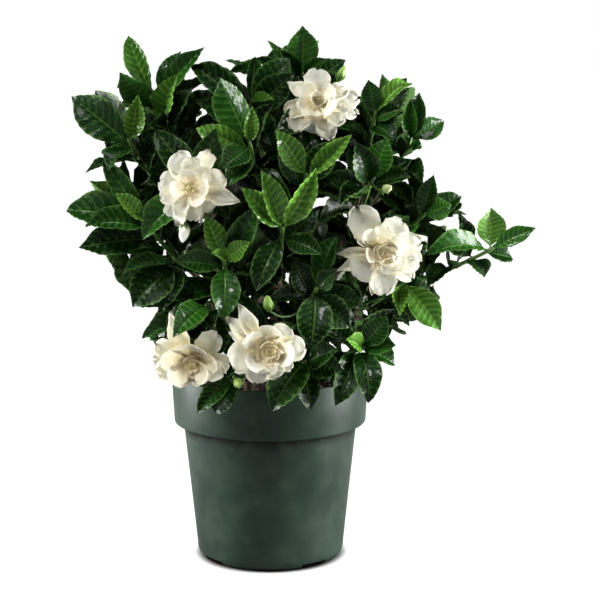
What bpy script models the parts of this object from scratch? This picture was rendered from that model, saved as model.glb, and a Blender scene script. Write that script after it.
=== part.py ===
"""Potted gardenia: a double-flowered gardenia bush in a plain nursery pot.

Metres, +Z up, origin at the centre of the pot's underside, -Y is the show side.
The pot holds a cake of potting soil, three woody stems stand in the soil, and each
stem carries leafy green shoots. Flowers stand on their calyxes and buds on the tips
of shoots. The places and sizes in the tables below are in millimetres.
"""

import math
import random

import bmesh
import bpy
from mathutils import Matrix, Vector
from mathutils.bvhtree import BVHTree

MM = 0.001
GAP = 0.3                       # clearance between two touching pieces
SEED = 20

# ---------------------------------------------------------------- pot and soil
POT_RIM_RADIUS = 82.0           # outside of the rim at its top
POT_BAND_RADIUS = 80.0          # outside of the rim band at its lower shoulder
POT_NECK_RADIUS = 72.0          # outside of the body just under the band
POT_FOOT_RADIUS = 61.5          # outside of the body just over its round foot
POT_HEIGHT = 155.0
POT_BAND_FROM = 114.0
POT_WALL = 1.8
POT_FOOT_ROUND = 8.0
POT_SIDES = 32
CENTRE_TOP = 2.0                # top of the floor's low centre
POT_FLOOR = 6.0                 # top of the floor round its low centre
POT_FLOOR_UNDER = 4.0           # underside of the ring-shaped drain channel
POT_CENTRE_RADIUS = 26.0        # the low centre of the floor, which stands on the ground
FOOT_RING = (48.0, 53.5)        # inner and outer radius of the ring that the pot stands on
DRAIN_COUNT = 4
DRAIN_WIDTH, DRAIN_HEIGHT = 24.0, 4.6
NOTCH_AT, NOTCH_DEPTH = 56.0, 20.0      # distance of a notch from the axis, and its size outwards
DRAIN_TURN = 38.0               # degrees from +X to the first drain notch
DRAIN_HOLE = (38.0, 5.0)        # distance from the axis and radius of the holes in the channel's roof
SOIL_TOP = 134.0                # at the wall
SOIL_CROWN = 3.0                # how far the soil rises from the wall to the stems
JOINT_GAP = 0.5                 # clearance where a green shoot meets its woody branch or its flower
BLADE_RIB = 1.1                 # thickness of a leaf along its mid rib; its margins are sharp
PETAL_RIB = 1.4

# ---------------------------------------------------------------- the bush
# Woody stems as points from inside the soil upwards, with their radius at foot and top.
STEMS = {
    "woody_stem_left": [(-15, -2, 112), (-19, -5, 160), (-31, -8, 215), (-47, -6, 270), (-54, 2, 325)],
    "woody_stem_centre": [(3, 8, 112), (3, 12, 170), (6, 14, 240), (8, 12, 300), (12, 8, 350)],
    "woody_stem_right": [(19, -4, 112), (27, -5, 160), (42, -2, 210), (60, 2, 255), (74, 6, 300)],
}
STEM_RADIUS = (5.4, 3.3)
BRANCH_RADIUS = 2.2
SHOOT_RADIUS = (2.1, 1.3)
WOODY_SHARE = 0.5               # how much of a branch is woody; the rest is a green shoot
STEM_STEPS = 3                  # pieces between two of a woody stem's points
BRANCH_STEPS = 6                # pieces of a branch with its green shoot
TUBE_SIDES = 6

# Blade forms: how far the tip turns down and how far each half folds up, in degrees.
FORMS = {
    "open": (24, 12), "arch": (60, 14), "droop": (96, 12),
    "fold": (12, 46), "trough": (40, 28), "rise": (-18, 20),
}
HANDS = (-1, 1, 0)              # which way a blade twists, or that it stays straight
TWIST = 16.0                    # degrees at the tip
WAVE = 0.010                    # height of the margin's waves, in blade lengths
PETIOLE = 0.10                  # share of a blade's length that is its stalk
PETIOLE_HALF = 0.013
BLADE_HALF = 0.21               # half width of a blade of unit length
BLADE_PEAK = 0.3209             # the largest value of the outline's formula
SECTIONS = ((0.0, 1), (0.42, 3), (0.74, 3), (1.0, 1))       # share of the length, points across
PLAIN_SECTIONS = ((0.0, 1), (0.52, 3), (1.0, 1))
STALK_SHARE = 0.45              # how far out the free part of a blade starts, to its widest part
CLEAR = 1.0                     # half thickness that a blade is kept clear with

# Shoots: the stem that carries it, the height where it leaves that stem, its tip, and the
# leaves that were set by hand: place along the shoot, blade tip, width, form and how far
# the upper side turns from up (0) to the show side (90).
SHOOTS = {
    "shoot_top": ("woody_stem_centre", 330, (27, -26, 400), [
        (0.99, (27, -30, 439), 25, "rise", 85),
        (0.95, (46, -38, 413), 13, "open", 60),
        (0.9, (9, -36, 420), 13, "fold", 70),
        (0.55, (62, -6, 412), 22, "open", 50),
        (0.6, (2, 10, 420), 24, "open", 50),
    ]),
    "shoot_crown_centre": ("woody_stem_centre", 300, (-15, -52, 376), [
        (0.95, (17, -42, 414), 25, "open", 70),
        (0.85, (20, -62, 402), 24, "open", 60),
        (0.97, (6, -78, 382), 12, "fold", 60),
        (0.8, (-62, -42, 408), 23, "arch", 55),
        (0.9, (-42, -36, 411), 18, "open", 60),
        (0.99, (-13, -34, 413), 12, "fold", 70),
        (0.6, (-58, -64, 380), 24, "arch", 50),
    ]),
    "shoot_left_high": ("woody_stem_left", 290, (-91, -44, 386), [
        (0.98, (-110, -36, 431), 19, "trough", 80),
        (0.95, (-117, -46, 420), 12, "fold", 60),
        (0.9, (-70, -22, 419), 19, "rise", 85),
        (0.85, (-50, -42, 422), 17, "open", 70),
        (0.8, (-114, -58, 406), 25, "open", 70),
        (0.55, (-69, -68, 402), 21, "trough", 65),
        (0.35, (-57, -74, 391), 22, "open", 60),
    ]),
    "shoot_left_crown": ("woody_stem_left", 255, (-108, -62, 350), [
        (0.9, (-154, -50, 384), 29, "open", 75),
        (0.8, (-138, -28, 388), 25, "open", 60),
        (0.98, (-99, -76, 386), 17, "fold", 70),
        (0.75, (-122, -84, 328), 22, "droop", 20),
        (0.85, (-134, -58, 336), 25, "arch", 50),
        (0.6, (-128, -16, 352), 24, "arch", 40),
    ]),
    "shoot_left_mid": ("woody_stem_left", 215, (-94, -84, 288), [
        (0.95, (-128, -74, 338), 16, "open", 70),
        (0.99, (-119, -84, 314), 15, "fold", 60),
        (0.85, (-157, -72, 296), 27, "arch", 55),
        (0.7, (-147, -78, 268), 25, "open", 60),
        (0.92, (-138, -100, 288), 26, "trough", 60),
        (0.6, (-136, -90, 262), 11, "open", 50),
        (0.97, (-88, -98, 306), 13, "open", 80),
        (0.5, (-84, -60, 322), 24, "open", 60),
    ]),
    "shoot_left_low": ("woody_stem_left", 190, (-72, -84, 258), [
        (0.9, (-104, -96, 224), 31, "arch", 55),
        (0.8, (-80, -100, 222), 22, "arch", 60),
        (0.98, (-112, -88, 250), 20, "trough", 50),
        (0.6, (-96, -64, 232), 24, "arch", 45),
    ]),
    "shoot_left_skirt": ("woody_stem_left", 168, (-46, -98, 226), [
        (0.95, (-78, -112, 207), 24, "open", 60),
        (0.99, (-70, -134, 207), 20, "arch", 50),
        (0.85, (-38, -128, 180), 21, "droop", 70),
        (0.6, (-98, -88, 198), 16, "arch", 45),
        (0.5, (-86, -70, 204), 22, "arch", 40),
    ]),
    "shoot_left_centre": ("woody_stem_left", 200, (-33, -108, 262), [
        (0.95, (-50, -124, 301), 18, "open", 80),
        (0.85, (-70, -114, 262), 17, "open", 60),
        (0.9, (-33, -128, 219), 22, "arch", 75),
        (0.99, (-41, -128, 270), 10, "fold", 60),
        (0.97, (-12, -120, 278), 14, "open", 70),
        (0.8, (-6, -114, 306), 20, "open", 75),
        (0.99, (-31, -122, 286), 11, "fold", 70),
    ]),
    "shoot_flower_upper_left": ("woody_stem_left", 235, "upper_left", [
        (0.85, (-92, -102, 279), 23, "arch", 45),
        (0.8, (-38, -104, 362), 22, "open", 70),
        (0.7, (-88, -70, 360), 23, "open", 70),
    ]),
    "shoot_centre": ("woody_stem_centre", 225, (12, -114, 287), [
        (0.95, (-19, -130, 319), 18, "open", 70),
        (0.97, (-4, -128, 332), 20, "trough", 75),
        (0.99, (36, -128, 334), 20, "trough", 75),
        (0.85, (-8, -122, 240), 20, "arch", 60),
        (0.8, (42, -120, 268), 18, "open", 60),
        (0.6, (40, -98, 300), 22, "open", 60),
    ]),
    "shoot_centre_high": ("woody_stem_centre", 265, (-13, -96, 350), [
        (0.9, (-56, -102, 364), 20, "trough", 70),
        (0.97, (-36, -84, 399), 26, "open", 80),
        (0.92, (-33, -116, 332), 21, "open", 65),
        (0.99, (-11, -104, 378), 12, "fold", 80),
        (0.85, (-30, -112, 318), 18, "arch", 50),
    ]),
    "shoot_centre_inner": ("woody_stem_centre", 255, (30, -100, 326), [
        (0.97, (7, -112, 361), 18, "open", 70),
        (0.99, (64, -108, 357), 16, "trough", 75),
        (0.8, (52, -90, 352), 22, "open", 70),
        (0.7, (10, -84, 350), 22, "open", 70),
    ]),
    "shoot_flower_top": ("woody_stem_centre", 310, "top", [
        (0.8, (78, -58, 395), 20, "arch", 50),
        (0.7, (66, -84, 358), 14, "fold", 70),
        (0.75, (4, -92, 352), 20, "arch", 60),
    ]),
    "shoot_right_high": ("woody_stem_right", 270, (84, -56, 372), [
        (0.95, (78, -58, 397), 16, "open", 70),
        (0.9, (104, -62, 374), 15, "open", 60),
        (0.99, (112, -54, 392), 14, "droop", 50),
        (0.8, (98, -74, 350), 20, "arch", 60),
        (0.7, (110, -30, 398), 20, "open", 60),
    ]),
    "shoot_right_crown": ("woody_stem_right", 262, (112, -48, 350), [
        (0.95, (111, -56, 382), 13, "fold", 80),
        (0.9, (119, -44, 387), 17, "open", 70),
        (0.97, (140, -42, 367), 17, "open", 70),
        (0.85, (126, -54, 359), 20, "open", 70),
        (0.75, (142, -36, 346), 20, "arch", 50),
    ]),
    "shoot_right_mid": ("woody_stem_right", 245, (80, -84, 322), [
        (0.97, (92, -92, 354), 21, "open", 75),
        (0.9, (110, -90, 324), 19, "open", 50),
        (0.7, (44, -96, 324), 22, "open", 60),
        (0.92, (66, -106, 352), 24, "trough", 70),
        (0.8, (112, -66, 336), 20, "open", 50),
    ]),
    "shoot_right_arm_high": ("woody_stem_right", 240, (122, -62, 292), [
        (0.95, (129, -68, 324), 15, "open", 70),
        (0.9, (134, -74, 303), 18, "open", 70),
        (0.99, (144, -60, 300), 18, "open", 70),
        (0.8, (155, -46, 305), 19, "open", 60),
        (0.85, (160, -54, 286), 14, "open", 60),
    ]),
    "shoot_flower_right": ("woody_stem_right", 235, "right", [
        (0.85, (108, -116, 304), 20, "open", 70),
        (0.8, (122, -106, 292), 15, "open", 60),
        (0.9, (88, -118, 300), 12, "fold", 60),
    ]),
    "shoot_right_arm": ("woody_stem_right", 215, (178, -50, 264), [
        (0.97, (176, -52, 297), 24, "rise", 80),
        (0.99, (209, -50, 284), 14, "open", 60),
        (0.95, (122, -76, 262), 18, "arch", 40),
        (0.75, (142, -42, 278), 23, "open", 50),
        (0.7, (170, -66, 243), 20, "arch", 50),
        (0.9, (196, -38, 254), 20, "open", 45),
        (0.45, (124, -78, 236), 18, "arch", 50),
    ]),
    "shoot_right_low": ("woody_stem_right", 195, (106, -84, 243), [
        (0.97, (134, -92, 205), 22, "open", 60),
        (0.95, (101, -106, 219), 14, "fold", 60),
        (0.8, (82, -112, 232), 16, "open", 60),
        (0.7, (128, -66, 228), 22, "arch", 50),
    ]),
    "shoot_right_skirt": ("woody_stem_right", 172, (74, -92, 192), [
        (0.97, (93, -96, 217), 19, "open", 70),
        (0.9, (98, -80, 207), 12, "open", 60),
        (0.95, (99, -98, 194), 19, "open", 60),
        (0.88, (99, -86, 176), 18, "arch", 50),
        (0.99, (60, -112, 202), 16, "fold", 70),
        (0.8, (77, -112, 152), 20, "droop", 60),
        (0.7, (52, -112, 150), 20, "droop", 60),
    ]),
    "shoot_centre_low": ("woody_stem_centre", 190, (38, -106, 240), [
        (0.9, (33, -122, 196), 27, "arch", 75),
        (0.97, (52, -114, 254), 16, "open", 60),
        (0.95, (56, -114, 291), 24, "open", 80),
        (0.85, (62, -116, 212), 24, "arch", 70),
        (0.8, (72, -98, 226), 20, "arch", 60),
        (0.7, (20, -100, 262), 20, "open", 60),
    ]),
    "shoot_centre_skirt": ("woody_stem_centre", 166, (30, -100, 182), [
        (0.97, (54, -122, 196), 22, "open", 65),
        (0.9, (57, -120, 178), 22, "arch", 60),
        (0.95, (4, -128, 149), 26, "droop", 75),
        (0.85, (34, -118, 148), 18, "droop", 60),
    ]),
    "shoot_flower_lower_left": ("woody_stem_left", 178, "lower_left", [
        (0.8, (-96, -112, 202), 15, "open", 50),
    ]),
    "shoot_flower_lower_centre": ("woody_stem_centre", 180, "lower_centre", [
        (0.8, (22, -122, 216), 17, "open", 60),
    ]),
    "shoot_front_skirt": ("woody_stem_left", 158, (-26, -98, 170), [
        (0.95, (-54, -110, 143), 17, "arch", 60),
        (0.85, (-44, -116, 140), 20, "droop", 70),
    ]),
}
# The far side's shoots stand in rings: height, distance from the axis, first and last angle
# in degrees, and how many.
BACK_RINGS = (
    (205, 108, 6, 174, 4),
    (282, 126, 12, 176, 5),
    (352, 98, 20, 160, 3),
    (392, 40, 80, 80, 1),
    (322, 50, 106, 106, 1),
)
WHORL = 3                       # leaves at each joint of a shoot made by rule
BACK_SWAY = 9.0                 # how far the tips of a ring stand above or below its height
BACK_SHIFT = 8.0                # the crown's middle stands this far to +X of the pot's axis
CENTRE_REACH = 50.0             # shoots that end this near to the middle grow from the centre stem

# Flowers: centre, the way it faces and radius. A shoot of the same name ends behind it.
FLOWERS = {
    "upper_left": ((-56, -122, 318), (-0.12, -1.0, 0.10), 29),
    "top": ((38, -84, 379), (0.10, -1.0, 0.30), 29),
    "right": ((84, -108, 269), (0.15, -1.0, 0.10), 34),
    "lower_left": ((-57, -118, 186), (-0.10, -1.0, -0.15), 25),
    "lower_centre": ((-1, -134, 198), (0.0, -1.0, 0.05), 30),
}
FLOWER_STAND = 27.0             # from a flower's centre back to the end of its shoot
FLOWER_DEPTH = 20.0             # how far its petals stand in front of its centre


def smooth_path(points, steps):
    """A path through the points, with `steps` pieces between each two of them."""
    points = [Vector(p) for p in points]
    ends = [2 * points[0] - points[1], *points, 2 * points[-1] - points[-2]]
    path = []
    for a, b, c, d in zip(ends, ends[1:], ends[2:], ends[3:]):
        for i in range(steps):
            t = i / steps
            path.append(0.5 * (2 * b + (c - a) * t + (2 * a - 5 * b + 4 * c - d) * t ** 2
                               + (3 * b - a - 3 * c + d) * t ** 3))
    return path + [points[-1]]


def bent_path(start, bend, end, steps):
    """A path that leaves start towards bend and comes to end from there."""
    shares = [i / steps for i in range(steps + 1)]
    return [start * (1 - t) ** 2 + bend * 2 * t * (1 - t) + end * t ** 2 for t in shares]


def at_height(path, height):
    """The point of an upward path that is at this height."""
    for low, high in zip(path, path[1:]):
        if high.z >= height:
            return low.lerp(high, max(0.0, (height - low.z) / (high.z - low.z)))
    return path[-1].copy()


def at_share(path, share):
    """The point at this share of a path's pieces, and the direction there."""
    place = min(max(share, 0.0), 0.9999) * (len(path) - 1)
    i = int(place)
    return path[i].lerp(path[i + 1], place - i), (path[i + 1] - path[i]).normalized()


def flower_axis(key):
    return Vector(FLOWERS[key][1]).normalized()


def back_shoots():
    """The far side's shoots, in the same form as SHOOTS, with no leaf set by hand."""
    shoots = {}
    for height, reach, first, last, count in BACK_RINGS:
        for i in range(count):
            turn = math.radians(first + (last - first) * i / max(1, count - 1))
            sway = BACK_SWAY * math.sin(3 * turn + height)
            tip = (reach * math.cos(turn) + BACK_SHIFT, reach * math.sin(turn), height + sway)
            side = "centre" if abs(tip[0]) < CENTRE_REACH else "left" if tip[0] < 0 else "right"
            leave = 105 + 0.5 * height + 6 * i
            shoots[f"shoot_back_{len(shoots) + 1:02d}"] = (f"woody_stem_{side}", leave, tip, [])
    return shoots


def branch_path(stem, leave, tip):
    """A branch from its stem to a shoot's tip: out first, then up."""
    foot = at_height(smooth_path(STEMS[stem], STEM_STEPS), leave)
    if isinstance(tip, str):
        end = Vector(FLOWERS[tip][0]) - flower_axis(tip) * FLOWER_STAND
        bend = end - flower_axis(tip) * 0.35 * (end - foot).length
    else:
        end = Vector(tip)
        bend = foot.lerp(end, 0.55) - Vector((0, 0, 0.10 * (end - foot).length))
    return bent_path(foot, bend, end, BRANCH_STEPS)


def midline(bend, s):
    """The mid rib at share s of a unit blade, as y, z and its slope; it leaves along +Y."""
    pieces = 12
    y = z = 0.0
    for i in range(pieces):
        slope = -bend * ((i + 0.5) / pieces * s) ** 1.4
        y += math.cos(slope) * s / pieces
        z += math.sin(slope) * s / pieces
    return y, z, -bend * s ** 1.4


def blade_half(s):
    """Half the width of a unit blade at share s of its length."""
    b = max(0.0, s - PETIOLE) / (1 - PETIOLE)
    outline = BLADE_HALF / BLADE_PEAK * b ** 0.9 * (1 - min(b, 1.0)) ** 0.75
    return max(PETIOLE_HALF * min(1.0, 8 * (1 - s)), outline)


def blade_point(form, hand, s, u):
    """The point of a unit blade at share s of its length and u (-1 to 1) across it."""
    bend, fold = (math.radians(angle) for angle in FORMS[form])
    y, z, slope = midline(bend, s)
    out = u * blade_half(s)
    wave = WAVE * math.sin(9.0 * s + 2.1 * hand + (1.3 if u > 0 else 0.0)) * u * u * min(1.0, 4 * (1 - s))
    side, lift = out * math.cos(fold), abs(out) * math.sin(fold) + (wave if s > PETIOLE else 0.0)
    twist = math.radians(TWIST) * hand * s
    turned = side * math.cos(twist) - lift * math.sin(twist)
    raised = side * math.sin(twist) + lift * math.cos(twist)
    return Vector((turned, y - math.sin(slope) * raised, z + math.cos(slope) * raised))


def blade_sections(form, hand, sections=SECTIONS):
    """A blade's few sections, each a list of points from its left margin to its right."""
    across = {1: (0,), 2: (-1, 1), 3: (-1, 0, 1)}
    return [[blade_point(form, hand, s, u) for u in across[count]] for s, count in sections]


def strip_faces(counts):
    """Faces of a sheet between sections of 1, 2 or 3 points, as numbers into its points."""
    faces, start = [], 0
    for a, b in zip(counts, counts[1:]):
        low, high = list(range(start, start + a)), list(range(start + a, start + a + b))
        if a == b == 2:
            faces += [(low[0], low[1], high[1], high[0])]
        elif a == b:
            faces += [(low[0], low[1], high[1]), (low[0], high[1], high[0])]
            faces += [(low[1], low[2], high[1]), (low[2], high[2], high[1])]
        elif a == 1:
            faces += [(low[0], high[i + 1], high[i]) for i in range(b - 1)]
        elif b == 1:
            faces += [(low[i], low[i + 1], high[0]) for i in range(a - 1)]
        elif b == 3:
            faces += [(low[0], high[1], high[0]), (low[0], low[1], high[1]), (low[1], high[2], high[1])]
        else:
            faces += [(low[0], low[1], high[0]), (low[1], high[1], high[0]), (low[1], low[2], high[1])]
        start += a
    return faces


def blade_matrix(base, tip, width, form, hand, face):
    """Places a unit blade with its stalk at base, its tip at tip and its upper side to face."""
    end = blade_point(form, hand, 1.0, 0.0)
    length = (tip - base).length / end.length
    chord = (tip - base).normalized()
    normal = face - face.dot(chord) * chord
    normal = normal.normalized() if normal.length > 1e-4 else chord.orthogonal().normalized()
    pitch = math.atan2(end.z, end.y)
    along = chord * math.cos(pitch) - normal * math.sin(pitch)
    up = chord * math.sin(pitch) + normal * math.cos(pitch)
    spread = width / (2 * BLADE_HALF * math.cos(math.radians(FORMS[form][1])))
    columns = (along.cross(up) * spread, along * length, up * length, base)
    return Matrix([[column[i] for column in columns] for i in range(3)] + [[0, 0, 0, 1]])


class Crowd:
    """What is already placed, as shells that a new blade is tested against."""

    def __init__(self):
        self.shells = []

    def add(self, owner, points, faces, joint=None):
        """Adds a shell. `joint` is the shell that its own shoot's other blades keep clear of."""
        tree = BVHTree.FromPolygons(points, faces)
        free = BVHTree.FromPolygons(*joint) if joint else tree
        centre = sum(points, Vector()) / len(points)
        reach = max((p - centre).length for p in points)
        self.shells.append((owner, centre, reach, tree, free))

    def hits(self, owner, points, faces, joint):
        tree, free = BVHTree.FromPolygons(points, faces), BVHTree.FromPolygons(*joint)
        centre = sum(points, Vector()) / len(points)
        reach = max((p - centre).length for p in points)
        for other, place, size, whole, blade in self.shells:
            if (centre - place).length > reach + size:
                continue
            pair = (free, blade) if other == owner else (tree, whole)
            if pair[0].overlap(pair[1]):
                return True
        return False


def thick_shell(sections, half):
    """A closed shell round a sheet given as sections."""
    middle = [p for row in sections for p in row]
    counts = [len(row) for row in sections]
    faces = strip_faces(counts)
    normals = [Vector() for _ in middle]
    for face in faces:
        a, b, c = (middle[i] for i in face[:3])
        normal = (b - a).cross(c - a)
        for i in face:
            normals[i] += normal
    normals = [n.normalized() for n in normals]
    points = [p + n * half for p, n in zip(middle, normals)]
    points += [p - n * half for p, n in zip(middle, normals)]
    shift = len(middle)
    shell = list(faces) + [tuple(i + shift for i in reversed(face)) for face in faces]
    starts = [sum(counts[:i]) for i in range(len(counts))]
    left, right = starts, [s + c - 1 for s, c in zip(starts, counts)]
    for edge, turned in ((left, True), (right, False)):
        for a, b in zip(edge, edge[1:]):
            quad = (a, b, b + shift, a + shift)
            shell.append(quad if turned else quad[::-1])
    if left[0] != right[0]:
        shell.append((left[0], left[0] + shift, right[0] + shift, right[0]))
    return points, shell


def blade_shells(matrix, form, hand, half):
    """A placed blade's shell, and the shell of its free part, without the stalk."""
    rows = [[matrix @ p for p in row] for row in blade_sections(form, hand)]
    centre_line = [sum(row, Vector()) / len(row) for row in rows]
    rows = [[mid + (p - mid) * 1.04 for p in row] for row, mid in zip(rows, centre_line)]
    free = [[rows[0][0].lerp(p, STALK_SHARE) for p in rows[1]]]
    return thick_shell(rows, half), thick_shell(free + rows[1:], half)


def tube_shell(path, radii, sides=TUBE_SIDES):
    """A tube's side faces round a path."""
    points, faces = [], []
    for i, centre in enumerate(path):
        ahead = (path[min(i + 1, len(path) - 1)] - path[max(i - 1, 0)]).normalized()
        across = ahead.orthogonal().normalized()
        up = ahead.cross(across)
        for k in range(sides):
            turn = math.tau * k / sides
            points.append(centre + (across * math.cos(turn) + up * math.sin(turn)) * radii[i])
    for i in range(len(path) - 1):
        for k in range(sides):
            a, b = i * sides + k, i * sides + (k + 1) % sides
            faces.append((a, b, b + sides, a + sides))
    return points, faces


def turned_shell(centre, axis, profile, sides=12):
    """A turned surface round an axis, from (radius, place along the axis) pairs."""
    across = axis.orthogonal().normalized()
    up = axis.cross(across)
    points, faces = [], []
    for radius, place in profile:
        for k in range(sides):
            turn = math.tau * k / sides
            points.append(centre + axis * place + (across * math.cos(turn) + up * math.sin(turn)) * radius)
    for i in range(len(profile) - 1):
        for k in range(sides):
            a, b = i * sides + k, i * sides + (k + 1) % sides
            faces.append((a, b, b + sides, a + sides))
    return points, faces


def radii_along(path, first, last):
    return [first + (last - first) * i / (len(path) - 1) for i in range(len(path))]




# Buds: the shoot and the place along it where the bud's stalk starts, the bud's centre,
# its length and the way it points.
BUDS = {
    "centre": ("shoot_centre_low", 0.6, (1, -119, 231), 15, (-0.1, -0.5, 0.85)),
    "skirt": ("shoot_front_skirt", 0.95, (-22, -122, 170), 14, (0.1, -0.9, 0.1)),
    "right": ("shoot_right_mid", 0.95, (91, -102, 316), 13, (0.4, -0.8, 0.3)),
    "white": ("shoot_flower_upper_left", 0.8, (-62, -118, 284), 16, (-0.1, -0.5, -0.85)),
    "top": ("shoot_flower_top", 0.6, (57, -66, 402), 13, (0.4, -0.2, 0.9)),
}
BUD_STALK = (1.1, 0.9)          # radius of its stalk at foot and tip
BUD_FOOT = 0.48                 # from a bud's centre to its lower end, in bud lengths

# Leaf rows of a shoot made by rule: place along it, leaf length, lift towards the tip in
# degrees, and forms to pick from.
RULE_ROWS = (
    (0.0, 60, 0, ("arch", "open", "open")),
    (0.14, 68, 4, ("arch", "open", "open")),
    (0.28, 66, 8, ("arch", "open", "open")),
    (0.42, 64, 12, ("arch", "open", "rise")),
    (0.70, 56, 26, ("open", "open", "trough")),
    (0.97, 40, 52, ("rise", "fold", "open")),
)
LAST_LEAF = 0.97                # no leaf starts nearer to a shoot's end than this share
# Leaves made by rule low on each shoot of the show side.
FILL_SHARES = (0.02, 0.11, 0.20, 0.29, 0.38, 0.47, 0.56, 0.65, 0.74)
FILL_LIFT = 15
FILL_FORMS = ("open", "arch", "trough")
WIDTH_SHARE = (0.36, 0.46)      # blade width over its length
TRIES = 60
PLAIN_BEND = 30                 # blades made by rule that bend less than this have fewer sections
LOWEST_TIP = 159.0              # no blade made by rule hangs below this
SKIRT_REACH = 90.0              # how far from the crown's middle such a blade may reach at that height
SKIRT_SPREAD = 0.58             # and how much farther for each millimetre above it
SKIRT_DEPTH = 0.85              # how much of its reach towards the show side or away from it counts
HOLLOW = (122.0, 298.0)         # no such blade ends farther to +X than this above this height


def turned_from_up(angle):
    """A direction this many degrees from up towards the show side."""
    return Vector((0, -math.sin(math.radians(angle)), math.cos(math.radians(angle))))


def pot_guard():
    """A coarse outline of pot and soil that blades keep clear of, as (radius, height)."""
    top = POT_HEIGHT + 1.5
    soil = SOIL_TOP + 1.5
    return ((0.5, soil), (POT_RIM_RADIUS - 6, soil), (POT_RIM_RADIUS - 5, top), (POT_RIM_RADIUS + 1.5, top),
            (POT_BAND_RADIUS + 2, POT_BAND_FROM), (POT_NECK_RADIUS, 100.0))


def branches():
    """Each shoot's stem, its woody piece and its green piece."""
    found = {}
    for name, (stem, leave, tip, _) in {**SHOOTS, **back_shoots()}.items():
        path = branch_path(stem, leave, tip)
        split = round((len(path) - 1) * WOODY_SHARE)
        found[name] = (stem, path[:split + 1], path[split:])
    return found


def bud_path(key, green):
    """A bud's stalk, from inside its shoot to just under the bud."""
    shoot, share, centre, length, way = BUDS[key]
    foot = at_share(green, share)[0]
    end = Vector(centre) - Vector(way).normalized() * (BUD_FOOT * length + JOINT_GAP)
    bend = foot.lerp(end, 0.6) - Vector(way).normalized() * 0.45 * (end - foot).length
    return bent_path(foot, bend, end, 4)


def crowd_of(found):
    """The pot, stems, flowers and buds, which every blade keeps clear of."""
    crowd = Crowd()
    up = Vector((0, 0, 1))
    crowd.add("pot", *turned_shell(Vector(), up, pot_guard(), 24))
    for stem, points in STEMS.items():
        path = smooth_path(points, STEM_STEPS)
        crowd.add(stem, *tube_shell(path, [r + 1 for r in radii_along(path, *STEM_RADIUS)]))
    for name, (stem, woody, green) in found.items():
        crowd.add(stem, *tube_shell(woody, [BRANCH_RADIUS + 1] * len(woody)))
        crowd.add(name, *tube_shell(green, [r + 1 for r in radii_along(green, *SHOOT_RADIUS)]))
    for key, (centre, _, radius) in FLOWERS.items():
        bowl = ((0.5, 1.5 - FLOWER_STAND), (7, 2 - FLOWER_STAND), (9, -12), (0.75 * radius, -9),
                (radius + 1, -2), (radius + 1, 5), (0.7 * radius, FLOWER_DEPTH), (0.5, FLOWER_DEPTH + 3))
        crowd.add("flower_" + key, *turned_shell(Vector(centre), flower_axis(key), bowl))
    for key, (shoot, _, centre, length, way) in BUDS.items():
        stalk = bud_path(key, found[shoot][2])
        crowd.add(shoot, *tube_shell(stalk, [r + 1 for r in radii_along(stalk, *BUD_STALK)]))
        thick, end = 0.36 * length, 0.62 * length
        pod = ((0.5, -end), (thick, -0.2 * length), (thick, 0.2 * length), (0.5, end))
        crowd.add("bud_" + key, *turned_shell(Vector(centre), Vector(way).normalized(), pod, 8))
    return crowd


def sight_guard():
    """The space in front of each flower, which blades made by rule leave free."""
    crowd = Crowd()
    for key, (centre, _, radius) in FLOWERS.items():
        drum = ((0.5, 2), (radius, 4), (radius, 70), (0.5, 72))
        crowd.add("sight_" + key, *turned_shell(Vector(centre), Vector((0, -1, 0)), drum))
    return crowd


def try_blade(crowds, shoot, base, tip, width, form, hand, face):
    """The blade's matrix if it is clear of everything, else None; it is added to the crowd."""
    matrix = blade_matrix(base, tip, width, form, hand, face)
    whole, free = blade_shells(matrix, form, hand, CLEAR)
    if any(crowd.hits(shoot, *whole, free) for crowd in crowds):
        return None
    crowds[0].add(shoot, *whole, free)
    return matrix


def hand_set_blades(found, crowd, rng):
    """The leaves listed in SHOOTS, each turned a little or set deeper until it is clear."""
    blades = []
    for name, (_, _, _, rows) in SHOOTS.items():
        for share, tip, width, form, angle in rows:
            base = at_share(found[name][2], min(share, LAST_LEAF))[0]
            for attempt in range(TRIES):
                loose = attempt / TRIES
                size = 1 - 0.35 * max(0.0, loose - 0.4)
                shift = Vector((rng.uniform(-7, 7), rng.uniform(-14, 30), rng.uniform(-7, 7))) * loose
                aim = base + (Vector(tip) + shift - base) * size
                face = turned_from_up(angle + rng.uniform(-50, 50) * loose)
                face.x += rng.uniform(-0.25, 0.25) + 0.6 * loose * rng.uniform(-1, 1)
                hand = rng.choice(HANDS)
                matrix = try_blade([crowd], name, base, aim, width * size, form, hand, face)
                if matrix:
                    blades.append((name, matrix, form, hand, SECTIONS))
                    break
    return blades


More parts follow.
